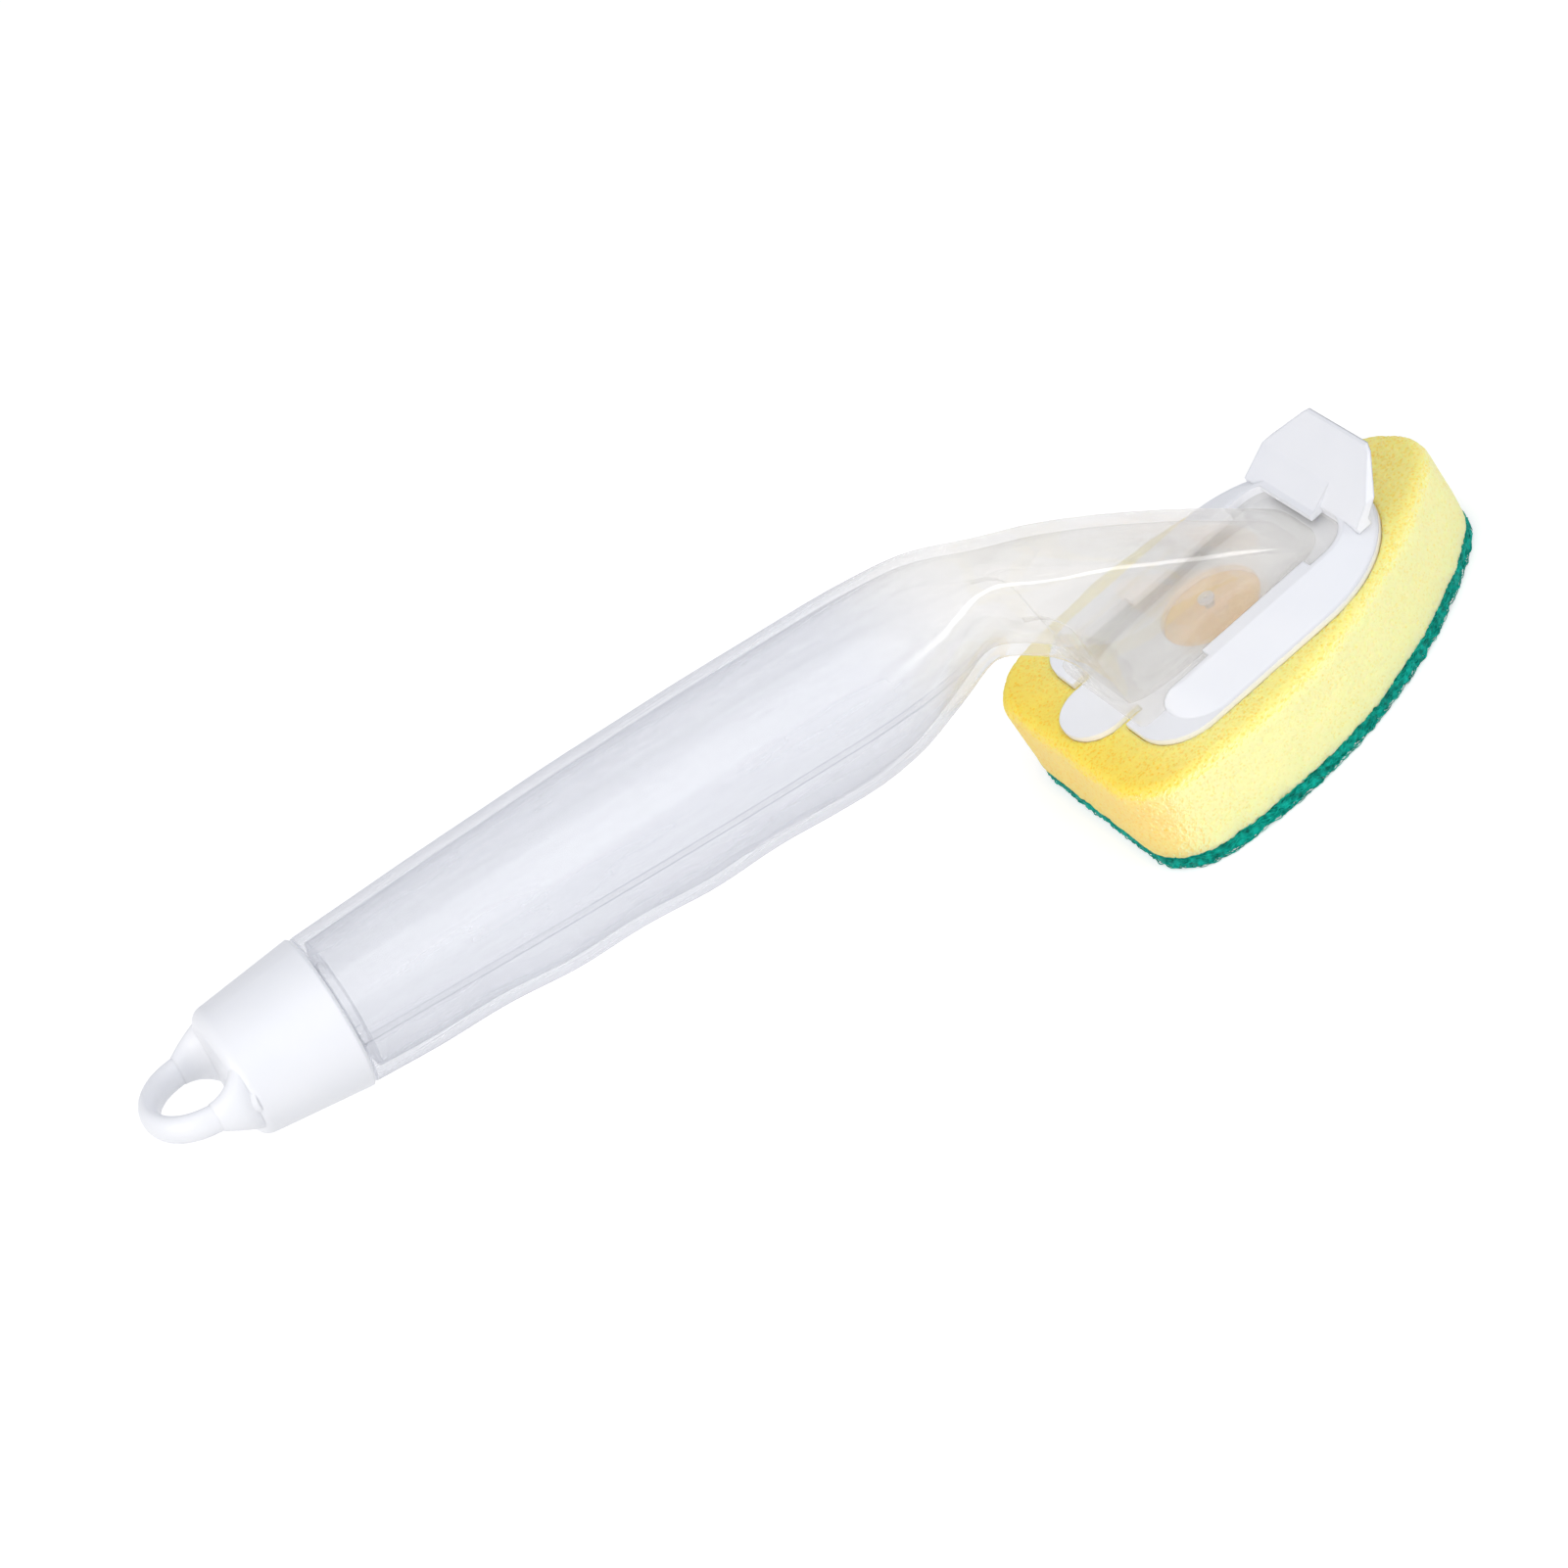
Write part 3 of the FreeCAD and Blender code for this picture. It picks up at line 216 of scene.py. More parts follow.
def schlick(tree, least, most, power):
    """Share that rises from face-on to grazing, the same on both sides of a surface."""
    facing = add(tree, "LayerWeight", Blend=0.5).outputs["Facing"]
    rise = maths(tree, "POWER", facing, power)
    return maths(tree, "ADD", maths(tree, "MULTIPLY", rise, most - least), least)


def noise(tree, place, **inputs):
    """Value of a noise texture."""
    return add(tree, "TexNoise", Vector=place, **inputs).outputs[0]


def nearest(tree, place, scale):
    """Distance to the nearest of scattered points."""
    return add(tree, "TexVoronoi", {"feature": "F1"}, Vector=place, Scale=scale).outputs["Distance"]


def bump(tree, height, **inputs):
    """Normal roughened by a height."""
    return add(tree, "Bump", Height=height, **inputs).outputs[0]


def coordinates(tree):
    """Place on the object in the part's own frame, in metres."""
    return add(tree, "TexCoord").outputs["Object"]


def geometry(tree, output):
    """One output of the geometry node."""
    return add(tree, "NewGeometry").outputs[output]


def finish_material(tree, shader):
    """Connects a shader to the material's output."""
    add(tree, "OutputMaterial", Surface=shader)


# Clear plastic

# At the head and at the grip: colours of the light that passes face-on and at a grazing angle, the haze's
# colour, the share of bent light, and ramps over the flow marks for the gloss's roughness and the share of
# the haze.
HEAD_FACE_ON = rgb(0.985, 0.981, 0.973)
GRIP_FACE_ON = rgb(0.946, 0.950, 0.961)
HEAD_GRAZING = rgb(0.93, 0.925, 0.91)
GRIP_GRAZING = rgb(0.74, 0.75, 0.785)
HEAD_MILK = rgb(0.81, 0.80, 0.78)
GRIP_MILK = rgb(0.80, 0.81, 0.845)
HEAD_BENT = grey(0.15)
GRIP_BENT = grey(0.07)
HEAD_GLOSS = ((0.3, grey(0.03)), (0.75, grey(0.08)))
GRIP_GLOSS = ((0.3, grey(0.12)), (0.7, grey(0.34)))
HEAD_HAZE = ((0.35, grey(0.08)), (0.7, grey(0.13)))
GRIP_HAZE = ((0.35, grey(0.13)), (0.7, grey(0.25)))

# Tints of the glass share, the seam's line, the weld faces and the shadow, how the flow marks are drawn out,
# and the share of the haze that is lit from behind.
GLASS_TINT = rgb(0.96, 0.963, 0.975)
SEAM_TINT = rgb(0.70, 0.71, 0.745)
WELD_TINT = grey(0.99)
SHADOW_TINT = rgb(0.985, 0.985, 0.99)
FLOW_SCALE = (16.0, 120.0, 120.0)
LIT_FROM_BEHIND = 0.5


def weld_shares(tree, place):
    """Two masks along the grip: the welded faces of the shells, and the fine line of the seam outside."""
    upright = (math.sin(GRIP_SLOPE), 0.0, math.cos(GRIP_SLOPE))
    sideways = (0.0, 1.0, 0.0)
    normal = geometry(tree, "True Normal")
    gap = maths(tree, "ABSOLUTE", maths(tree, "SUBTRACT", dot(tree, place, upright), SEAM_LEVEL * MM))
    square = maths(tree, "ABSOLUTE", dot(tree, normal, upright))
    flat = maths(tree, "GREATER_THAN", square, SEAM_SQUARE)
    faces = maths(tree, "MULTIPLY", maths(tree, "LESS_THAN", gap, SEAM_REACH * MM), flat)
    outward = maths(tree, "MULTIPLY", dot(tree, normal, sideways), dot(tree, place, sideways))
    outside = maths(tree, "GREATER_THAN", outward, 0.0)
    line = maths(tree, "MULTIPLY", maths(tree, "LESS_THAN", gap, SEAM_LINE * MM), outside)
    return faces, line


def flow_marks(tree, place):
    """Streaks drawn out along the grip."""
    settings = {"vector_type": "TEXTURE"}
    level = add(tree, "Mapping", settings, Vector=place, Rotation=(0.0, GRIP_SLOPE, 0.0))
    drawn = add(tree, "Mapping", Vector=level.outputs[0], Scale=FLOW_SCALE)
    return noise(tree, drawn.outputs[0], Scale=1.0, Detail=3.0, Roughness=0.55)


def thin_wall(tree, grip, seam, gloss, normal):
    """Wall that light passes straight through, with a shine on its outside."""
    face_on = mix(tree, grip, HEAD_FACE_ON, GRIP_FACE_ON)
    grazing = mix(tree, grip, HEAD_GRAZING, GRIP_GRAZING)
    tint = mix(tree, schlick(tree, least=0.0, most=1.0, power=4.0), face_on, grazing)
    tint = mix(tree, maths(tree, "MULTIPLY", seam, grip), tint, SEAM_TINT)
    passing = add(tree, "BsdfTransparent", Color=tint)
    shine = add(tree, "BsdfGlossy", Color=grey(1.0), Roughness=gloss, Normal=normal)
    outer = maths(tree, "SUBTRACT", 1.0, geometry(tree, "Backfacing"))
    share = maths(tree, "MULTIPLY", schlick(tree, least=0.07, most=0.5, power=4.0), outer)
    return mix_shader(tree, share, passing.outputs[0], shine.outputs[0])


def milky(tree, clear, grip, streaks, normal):
    """Clear shader with a haze over it that thickens along the flow marks and at grazing angles."""
    haze = mix(tree, grip, ramp(tree, streaks, HEAD_HAZE), ramp(tree, streaks, GRIP_HAZE))
    cloudy = maths(tree, "MULTIPLY", haze, schlick(tree, least=1.0, most=3.2, power=3.0))
    colour = mix(tree, grip, HEAD_MILK, GRIP_MILK)
    milk = add(tree, "BsdfDiffuse", Color=colour, Normal=normal)
    glow = add(tree, "BsdfTranslucent", Color=colour, Normal=normal)
    layer = mix_shader(tree, LIT_FROM_BEHIND, milk.outputs[0], glow.outputs[0])
    return mix_shader(tree, cloudy, clear, layer)


def clear_plastic():
    """Moulded plastic, clear at the head and milky with flow marks along the grip."""
    material, tree = new_tree("clear_plastic")
    place = coordinates(tree)
    along = add(tree, "SeparateXYZ", Vector=place).outputs["X"]
    grip = fade(tree, along, HEAD_REAR * MM, GRIP_FRONT * MM)
    streaks = flow_marks(tree, place)
    crisp = ramp(tree, streaks, HEAD_GLOSS)
    gloss = mix(tree, grip, crisp, ramp(tree, streaks, GRIP_GLOSS))
    waves = noise(tree, place, Scale=28.0, Detail=1.0)
    normal = bump(tree, waves, Strength=0.16, Distance=0.004)
    weld, seam = weld_shares(tree, place)

    thin = thin_wall(tree, grip, seam, gloss, normal)
    glass = add(tree, "BsdfPrincipled", Base_Color=GLASS_TINT, Roughness=crisp, IOR=1.45,
                Transmission_Weight=1.0, Normal=normal)
    clear = mix_shader(tree, mix(tree, grip, HEAD_BENT, GRIP_BENT), thin, glass.outputs[0])
    hazy = milky(tree, clear, grip, streaks, normal)
    unseen = add(tree, "BsdfTransparent", Color=WELD_TINT)
    welded = mix_shader(tree, weld, hazy, unseen.outputs[0])
    shadow = add(tree, "LightPath").outputs["Is Shadow Ray"]
    through = add(tree, "BsdfTransparent", Color=SHADOW_TINT)
    finish_material(tree, mix_shader(tree, shadow, welded, through.outputs[0]))
    return material


# White plastic

# Ramps over faint clouds for its colour and its roughness.
WHITE_COLOURS = ((0.3, rgb(0.80, 0.815, 0.845)), (0.7, rgb(0.83, 0.84, 0.865)))
WHITE_GLOSS = ((0.3, grey(0.32)), (0.7, grey(0.42)))


def white_plastic():
    """Satin white moulding with soft edges and a fine spark-eroded grain."""
    material, tree = new_tree("white_plastic")
    place = coordinates(tree)
    cloud = noise(tree, place, Scale=60.0, Detail=3.0)
    grain = noise(tree, place, Scale=2600.0, Detail=2.0)
    soft = add(tree, "Bevel", {"samples": 4}, Radius=0.0005)
    normal = bump(tree, grain, Strength=0.08, Distance=0.0001, Normal=soft.outputs[0])
    colour = ramp(tree, cloud, WHITE_COLOURS)
    gloss = ramp(tree, cloud, WHITE_GLOSS)
    body = add(tree, "BsdfPrincipled", Base_Color=colour, Roughness=gloss, Normal=normal, IOR=1.48,
               Subsurface_Weight=0.10, Subsurface_Radius=(0.0015, 0.0015, 0.0017))
    finish_material(tree, body.outputs[0])
    return material


# Rubber

# Valve and ring: ramps over faint clouds, shares of light let through, and the tints of that light face-on
# and at a grazing angle.
VALVE_COLOURS = ((0.3, rgb(0.88, 0.88, 0.89)), (0.7, rgb(0.93, 0.93, 0.94)))
RING_COLOURS = ((0.3, rgb(0.66, 0.67, 0.7)), (0.7, rgb(0.78, 0.79, 0.82)))
VALVE_CLEARNESS = 0.55
RING_CLEARNESS = 0.1
RUBBER_FACE_ON = rgb(0.97, 0.965, 0.96)
RUBBER_GRAZING = rgb(0.80, 0.80, 0.82)


def soft_rubber(name, colours, clearness):
    """Matte rubber, from opaque to nearly clear."""
    material, tree = new_tree(name)
    cloud = noise(tree, coordinates(tree), Scale=400.0, Detail=4.0)
    colour = ramp(tree, cloud, colours)
    normal = bump(tree, cloud, Strength=0.1, Distance=0.0001)
    body = add(tree, "BsdfPrincipled", Base_Color=colour, Roughness=0.4, Normal=normal, IOR=1.41)
    edge = schlick(tree, least=0.0, most=1.0, power=2.0)
    through = add(tree, "BsdfTransparent", Color=mix(tree, edge, RUBBER_FACE_ON, RUBBER_GRAZING))
    finish_material(tree, mix_shader(tree, clearness, body.outputs[0], through.outputs[0]))
    return material


# Look of the foam

# Ramps from cell wall to pore for its sides, its rear side, its top, the rear of the top and the spot under
# the outlet, each darker into the pores as painted shade; the sides are paler as painted light, and the rear
# side, the rear of the top and the spot under the outlet are deeper as painted shade.
FOAM_SIDES_PAINTED_LIGHT = ((0.25, rgb(0.99, 0.93, 0.46)), (0.75, rgb(0.97, 0.84, 0.32)))
FOAM_REAR_SIDE_PAINTED_SHADE = ((0.25, rgb(1.0, 0.72, 0.25)), (0.75, rgb(1.0, 0.58, 0.13)))
FOAM_UPSIDE = ((0.2, rgb(1.0, 0.86, 0.29)), (0.7, rgb(1.0, 0.69, 0.12)))
FOAM_REAR_TOP_PAINTED_SHADE = ((0.2, rgb(1.0, 0.74, 0.12)), (0.7, rgb(1.0, 0.56, 0.04)))
FOAM_OUTLET_PAINTED_SHADE = ((0.2, rgb(1.0, 0.62, 0.20)), (0.7, rgb(0.98, 0.48, 0.10)))

# Pores: points per metre and steepness of large and small pits, share of the small ones, how far the pits
# wander, in metres, and the share of their depth that is left outside the clouds.
LARGE_PITS = (1200.0, 1.6)
SMALL_PITS = (2500.0, 1.5)
SMALL_SHARE = 0.6
PIT_WANDER = (0.0009, 0.0009, 0.0009)
LEAST_DEPTH = 0.5

# Parts of the surface's normal along X and Z over which the rear side's painted shade and the top take over
# from the sides' painted light.
REAR_SIDE_SHADE_FADE = (-0.3, -0.9)
UPWARD_FADE = (0.15, 0.85)


def pits(tree, place, scale, steepness):
    """Depth of round pits, one at each scattered point."""
    rise = maths(tree, "MULTIPLY", nearest(tree, place, scale), steepness)
    return maths(tree, "SUBTRACT", 1.0, rise, clamp=True)


def pore_depth(tree, place):
    """Depth of the foam's pores from 0 at a cell wall to 1, stronger in some clouds than in others."""
    wander = add(tree, "TexNoise", Vector=place, Scale=700.0, Detail=2.0).outputs["Color"]
    settings = {"operation": "MULTIPLY_ADD"}
    shifted = add_in_order(tree, "VectorMath", settings, wander, PIT_WANDER, place).outputs[0]
    small = maths(tree, "MULTIPLY", pits(tree, shifted, *SMALL_PITS), SMALL_SHARE)
    both = maths(tree, "ADD", pits(tree, shifted, *LARGE_PITS), small)
    even = maths(tree, "MULTIPLY", both, 1.0 / (1.0 + SMALL_SHARE))
    cloud = noise(tree, place, Scale=90.0, Detail=4.0)
    return maths(tree, "MULTIPLY", even, maths(tree, "ADD", cloud, LEAST_DEPTH), clamp=True)


def foam_colour(tree, place, depth):
    """Colour of the foam by the way its surface faces, its place along the top and the spot under the outlet,
    as painted light on the sides and painted shade on the rear side, the rear of the top and that spot.
    """
    facing = add(tree, "SeparateXYZ", Vector=geometry(tree, "True Normal"))
    spot = add(tree, "SeparateXYZ", Vector=place)
    level = add(tree, "CombineXYZ", X=spot.outputs["X"], Y=spot.outputs["Y"])
    radius = add(tree, "VectorMath", {"operation": "LENGTH"}, Vector=level.outputs[0]).outputs["Value"]
    # Painted shade: the rear of the top turns deeper orange.
    deeper = fade(tree, spot.outputs["X"], TOP_SHADE_START * MM, TOP_SHADE_END * MM)
    top = mix(tree, deeper, ramp(tree, depth, FOAM_UPSIDE), ramp(tree, depth, FOAM_REAR_TOP_PAINTED_SHADE))
    # Painted shade: a deeper orange spot under the outlet.
    outlet_shade = fade(tree, radius, OUTLET_SHADE_RIM * MM, OUTLET_SHADE_MIDDLE * MM)
    top = mix(tree, outlet_shade, top, ramp(tree, depth, FOAM_OUTLET_PAINTED_SHADE))
    # Painted light and shade by facing: the sides paler, the rear side deeper.
    rear_side_shade = fade(tree, facing.outputs["X"], *REAR_SIDE_SHADE_FADE)
    side = mix(tree, rear_side_shade, ramp(tree, depth, FOAM_SIDES_PAINTED_LIGHT), ramp(tree, depth, FOAM_REAR_SIDE_PAINTED_SHADE))
    upward = fade(tree, facing.outputs["Z"], *UPWARD_FADE)
    return mix(tree, upward, side, top)


def foam_material():
    """Open-cell foam: pale cell walls over deep orange-yellow pores, whose deeper colour is painted shade."""
    material, tree = new_tree("yellow_foam")
    place = coordinates(tree)
    depth = pore_depth(tree, place)
    # The pores' depth deepens the colour as painted shade.
    colour = foam_colour(tree, place, depth)
    normal = bump(tree, maths(tree, "SUBTRACT", 1.0, depth), Strength=0.35, Distance=0.0004)
    body = add(tree, "BsdfPrincipled", Base_Color=colour, Roughness=0.9, Normal=normal, IOR=1.4,
               Specular_IOR_Level=0.15, Subsurface_Weight=0.45, Subsurface_Radius=(0.010, 0.006, 0.0012),
               Subsurface_Scale=1.0)
    finish_material(tree, body.outputs[0])
    return material


# Look of the scouring pad

# Ramps from dark hollows to bright fibre tips for its core and its loose fibres, the hollows' dark being
# painted shade and the tips' bright painted glints, and how much darker the web gets with the distance from
# the middle of a clump, as painted shade between clumps.
CORE_COLOURS = ((0.18, rgb(0.0, 0.12, 0.09)), (0.42, rgb(0.0, 0.36, 0.28)), (0.72, rgb(0.0, 0.52, 0.41)))
FIBRE_COLOURS = ((0.18, rgb(0.0, 0.20, 0.155)), (0.42, rgb(0.0, 0.43, 0.33)), (0.72, rgb(0.02, 0.62, 0.50)))
CLUMP_SHADE = -0.25


def scourer_material(name, colours):
    """Resin-bonded fibre web: teal with dark hollows of painted shade and bright fibre tips of painted
    glints.
    """
    material, tree = new_tree(name)
    place = coordinates(tree)
    web = noise(tree, place, Scale=700.0, Detail=5.0, Roughness=0.65)
    # Painted shade in the hollows and between clumps, painted glints on the fibre tips.
    clump = maths(tree, "MULTIPLY", nearest(tree, place, scale=650.0), CLUMP_SHADE)
    colour = ramp(tree, maths(tree, "ADD", web, clump), colours)
    normal = bump(tree, web, Strength=0.8, Distance=0.0006)
    body = add(tree, "BsdfPrincipled", Base_Color=colour, Roughness=0.5, Normal=normal,
               Specular_IOR_Level=0.12)
    finish_material(tree, body.outputs[0])
    return material


# Meshes


def arc_points(centre, radius, first, last, count):
    """Points on an arc from one angle to another, without the last."""
    turns = np.linspace(first, last, count, endpoint=False)
    return [centre + radius * np.array([math.cos(turn), math.sin(turn)]) for turn in turns]


def shield_outline(inset, spacing):
    """Plan points of the foam, counter-clockwise, drawn in by an inset.

    Each long side is an arc that runs smoothly into the rear corner and the tip, so the distances from its
    middle to theirs are the differences of the radii.
    """
    corner = np.array([CORNER_RADIUS - FOAM_REAR, -FOAM_STRAIGHT])
    tip = np.array([FOAM_FRONT - TIP_RADIUS, 0.0])
    length = np.linalg.norm(tip - corner)
    along = (tip - corner) / length
    to_corner = SIDE_RADIUS - CORNER_RADIUS
    to_tip = SIDE_RADIUS - TIP_RADIUS
    reach = (to_corner ** 2 - to_tip ** 2 + length ** 2) / (2 * length)
    rise = math.sqrt(to_corner ** 2 - reach ** 2)
    middle = corner + along * reach + np.array([-along[1], along[0]]) * rise
    low = math.atan2(*(corner - middle)[::-1])
    high = math.atan2(*(tip - middle)[::-1])
    flip = np.array([1.0, -1.0])
    arcs = [
        (corner, CORNER_RADIUS, math.pi, 2 * math.pi + low),
        (middle, SIDE_RADIUS, low, high),
        (tip, TIP_RADIUS, high, -high),
        (middle * flip, SIDE_RADIUS, -high, -low),
        (corner * flip, CORNER_RADIUS, -low, math.pi),
    ]
    points = []
    for centre, radius, first, last in arcs:
        count = max(2, round(abs(last - first) * radius / spacing))
        points += arc_points(centre, radius - inset, first, last, count)
    straight = round(2 * FOAM_STRAIGHT / spacing)
    for y in np.linspace(FOAM_STRAIGHT, -FOAM_STRAIGHT, straight, endpoint=False):
        points.append(np.array([inset - FOAM_REAR, y]))
    return np.array(points)


def mesh_object(name, points, faces):
    """Object from points in millimetres."""
    mesh = bpy.data.meshes.new(name)
    mesh.from_pydata((np.asarray(points) * MM).tolist(), [], faces)
    mesh.update()
    made = bpy.data.objects.new(name, mesh)
    bpy.context.scene.collection.objects.link(made)
    return made


def band_faces(base, levels, count):
    """Four-sided faces between rings of points that follow each other, with a face over each end."""
    faces = []
    for level in range(levels - 1):
        start = base + level * count
        for index in range(count):
            here = start + index
            beside = start + (index + 1) % count
            faces.append((here, beside, beside + count, here + count))
    last = base + (levels - 1) * count
    faces.append(tuple(reversed(range(base, base + count))))
    faces.append(tuple(range(last, last + count)))
    return faces


def stacked(name, levels, spacing):
    """Closed solid from plan outlines stacked at (height, inset) levels."""
    points = []
    for height, inset in levels:
        points += [(x, y, height) for x, y in shield_outline(inset, spacing)]
    count = len(points) // len(levels)
    return mesh_object(name, points, band_faces(0, len(levels), count))


def remeshed(source, voxel):
    """Even quad mesh of a closed solid, which it takes the place of."""
    modifier = source.modifiers.new("even", "REMESH")
    modifier.mode = "VOXEL"
    modifier.voxel_size = voxel * MM
    modifier.use_smooth_shade = True
    graph = bpy.context.evaluated_depsgraph_get()
    mesh = bpy.data.meshes.new_from_object(source.evaluated_get(graph))
    source.modifiers.clear()
    old = source.data
    source.data = mesh
    bpy.data.meshes.remove(old)
    mesh.name = source.name
    return source


def read_points(made):
    """Points and normals of an object's mesh, points in millimetres."""
    mesh = made.data
    points = np.empty(len(mesh.vertices) * 3, np.float32)
    normals = np.empty(len(mesh.vertices) * 3, np.float32)
    mesh.vertices.foreach_get("co", points)
    mesh.vertex_normals.foreach_get("vector", normals)
    return points.reshape(-1, 3).astype(float) / MM, normals.reshape(-1, 3).astype(float)


def write_points(made, points):
    """Puts points in millimetres back into an object's mesh."""
    made.data.vertices.foreach_set("co", (points * MM).astype(np.float32).ravel())
    made.data.update()


# Noise at points

# Large odd numbers and shifts that scatter whole-number cells, and how many values a scattered cell can take.
HASH_AXES = (73856093, 19349663, 83492791)
HASH_SALT = 2654435761
HASH_STIR = 1274126177
HASH_SHIFT = 13
LAST_SHIFT = 16
HASH_VALUES = 0x1000000

# More than the distance to the nearest scattered point can be, in cells.
FAR_AWAY = 9.0


def hashed(cells, salt):
    """Even random numbers for whole-number cells."""
    mixed = salt * HASH_SALT
    for axis, factor in enumerate(HASH_AXES):
        mixed = mixed ^ (cells[..., axis] * factor)
    mixed = (mixed ^ (mixed >> HASH_SHIFT)) * HASH_STIR
    mixed = mixed ^ (mixed >> LAST_SHIFT)
    return (mixed & (HASH_VALUES - 1)) / float(HASH_VALUES)


def cell_noise(points, cell, salt):
    """Distances to the nearest and second nearest scattered point, in cells."""
    base = np.floor(points / cell).astype(np.int64)
    first = np.full(len(points), FAR_AWAY)
    second = np.full(len(points), FAR_AWAY)
    for offset in itertools.product((-1, 0, 1), repeat=3):
        near = base + np.array(offset)
        place = near + np.stack([hashed(near, salt + axis) for axis in range(3)], axis=1)
        gap = np.linalg.norm(points / cell - place, axis=1)
        second = np.minimum(second, np.maximum(first, gap))
        first = np.minimum(first, gap)
    return first, second


def smooth(share):
    """Eases a share in and out."""
    return share * share * (3 - 2 * share)


def value_noise(points, cell, salt):
    """Smooth noise from -1 to 1."""
    base = np.floor(points / cell).astype(np.int64)
    share = smooth(points / cell - base)
    total = np.zeros(len(points))
    for corner in itertools.product((0, 1), repeat=3):
        weight = np.ones(len(points))
        for axis, upper in enumerate(corner):
            weight = weight * (share[:, axis] if upper else 1 - share[:, axis])
        total += weight * hashed(base + np.array(corner), salt)
    return total * 2 - 1


def noise_sum(points, layers):
    """Sum of smooth noises, each with its height, cell and salt."""
    total = np.zeros(len(points))
    for height, cell, salt in layers:
        total += height * value_noise(points, cell, salt)
    return total


def step(low, high, value):
    """Share that rises smoothly from 0 at one value to 1 at another."""
    return smooth(np.clip((value - low) / (high - low), 0, 1))


# Foam block

# Spacing of the outline's points and size of the even mesh, for the foam and the pad.
OUTLINE_SPACING = 0.8
MESH_SIZE = 0.45

# Side of the foam as (height, inset) levels, then the radius, inset and levels of its soft upper edge.
FOAM_LEVELS = ((PAD_TOP + 0.05, 0.35), (PAD_TOP + 0.5, 0.1), (8.0, 0.05), (14.0, 0.1))
EDGE_RADIUS = 3.0
EDGE_INSET = 0.1
EDGE_LEVELS = 7

# Unevenness as (height, cell, salt) layers: lumps all over, and the ragged lower edge with its height.
FOAM_LUMPS = ((0.22, 9.0, 3), (0.12, 3.6, 5))
FOAM_RAGGED = ((0.25, 1.6, 61),)
RAGGED_HEIGHT = 1.2
RAGGED_DROP = 0.2

# Open cells: size, salt and depth of large and fine ones, and the distance from their walls over which they
# deepen, in cells. Then how far the large ones wander and over what length, the salts of that, and how far
# the walls stand proud.
LARGE_CELL = 1.5
LARGE_SALT = 31
LARGE_DEPTH = 0.18
LARGE_FADE = (0.05, 0.55)
FINE_CELL = 0.8
FINE_SALT = 47
FINE_DEPTH = 0.08
FINE_FADE = (0.0, 0.5)
CELL_WANDER = 0.4
WANDER_LENGTH = 1.3
WANDER_SALTS = (21, 22, 23)
WALLS_PROUD = 0.08

# Foam round the plate: heights over which the top begins, distances from the plate over which the pressed
# part ends and the swell begins, the swell and its reach, how much of the unevenness is lost under the
# plate, the gap kept there, and the share from which a point counts as under the plate.
UPPER_FADE = (19.5, 22.5)
UNDER_FADE = (-0.2, 0.5)
SWELL_FADE = (0.1, 0.7)
SWELL = 0.75
SWELL_REACH = 2.6
PRESSED_FLAT = 0.85
PLATE_GAP = 0.12
MOSTLY_UNDER = 0.5


def round_box(points, rear, front, half, rear_radius, front_radius):
    """Signed distance in plan to a rounded rectangle about the X axis."""
    x = points[:, 0] - (rear + front) / 2
    y = np.abs(points[:, 1])
    radius = np.where(x > 0, front_radius, rear_radius)
    past_end = np.abs(x) - (front - rear) / 2 + radius
    past_side = y - half + radius
    outside = np.hypot(np.maximum(past_end, 0), np.maximum(past_side, 0))
    return np.minimum(np.maximum(past_end, past_side), 0) + outside - radius


def plate_distance(points):
    """Signed distance in plan to the refill plate and its tongue."""
    plate = round_box(points, PLATE_REAR, PLATE_FRONT, PLATE_HALF, PLATE_REAR_RADIUS, PLATE_FRONT_RADIUS)
    for middle in (-SLOT_MIDDLE, SLOT_MIDDLE):
        beside = points - np.array([0.0, middle, 0.0])
        slot = round_box(beside, SLOT_REAR, SLOT_FRONT, SLOT_HALF, SLOT_RADIUS, SLOT_RADIUS)
        plate = np.maximum(plate, -slot)
    tongue = round_box(points, TONGUE_REAR, TONGUE_FRONT, TONGUE_HALF,
                       TONGUE_REAR_RADIUS, TONGUE_FRONT_RADIUS)
    return np.minimum(plate, tongue)


def foam_block():
    """Plain foam block with a soft upper edge, in an even mesh."""
    levels = list(FOAM_LEVELS)
    for turn in np.linspace(0, math.pi / 2, EDGE_LEVELS):
        height = FOAM_TOP - EDGE_RADIUS + EDGE_RADIUS * math.sin(turn)
        inset = EDGE_RADIUS - EDGE_RADIUS * math.cos(turn) + EDGE_INSET
        levels.append((height, inset))
    return remeshed(stacked("sponge_foam", levels, OUTLINE_SPACING), MESH_SIZE)


def foam_pores(points):
    """Depth of the open cells below their walls: large ones that wander, and fine ones."""
    wander = np.stack([value_noise(points, WANDER_LENGTH, salt) for salt in WANDER_SALTS], axis=1)
    near, far = cell_noise(points + CELL_WANDER * wander, LARGE_CELL, LARGE_SALT)
    large = LARGE_DEPTH * step(*LARGE_FADE, far - near)
    near, far = cell_noise(points, FINE_CELL, FINE_SALT)
    fine = FINE_DEPTH * step(*FINE_FADE, far - near)
    return large - WALLS_PROUD + fine


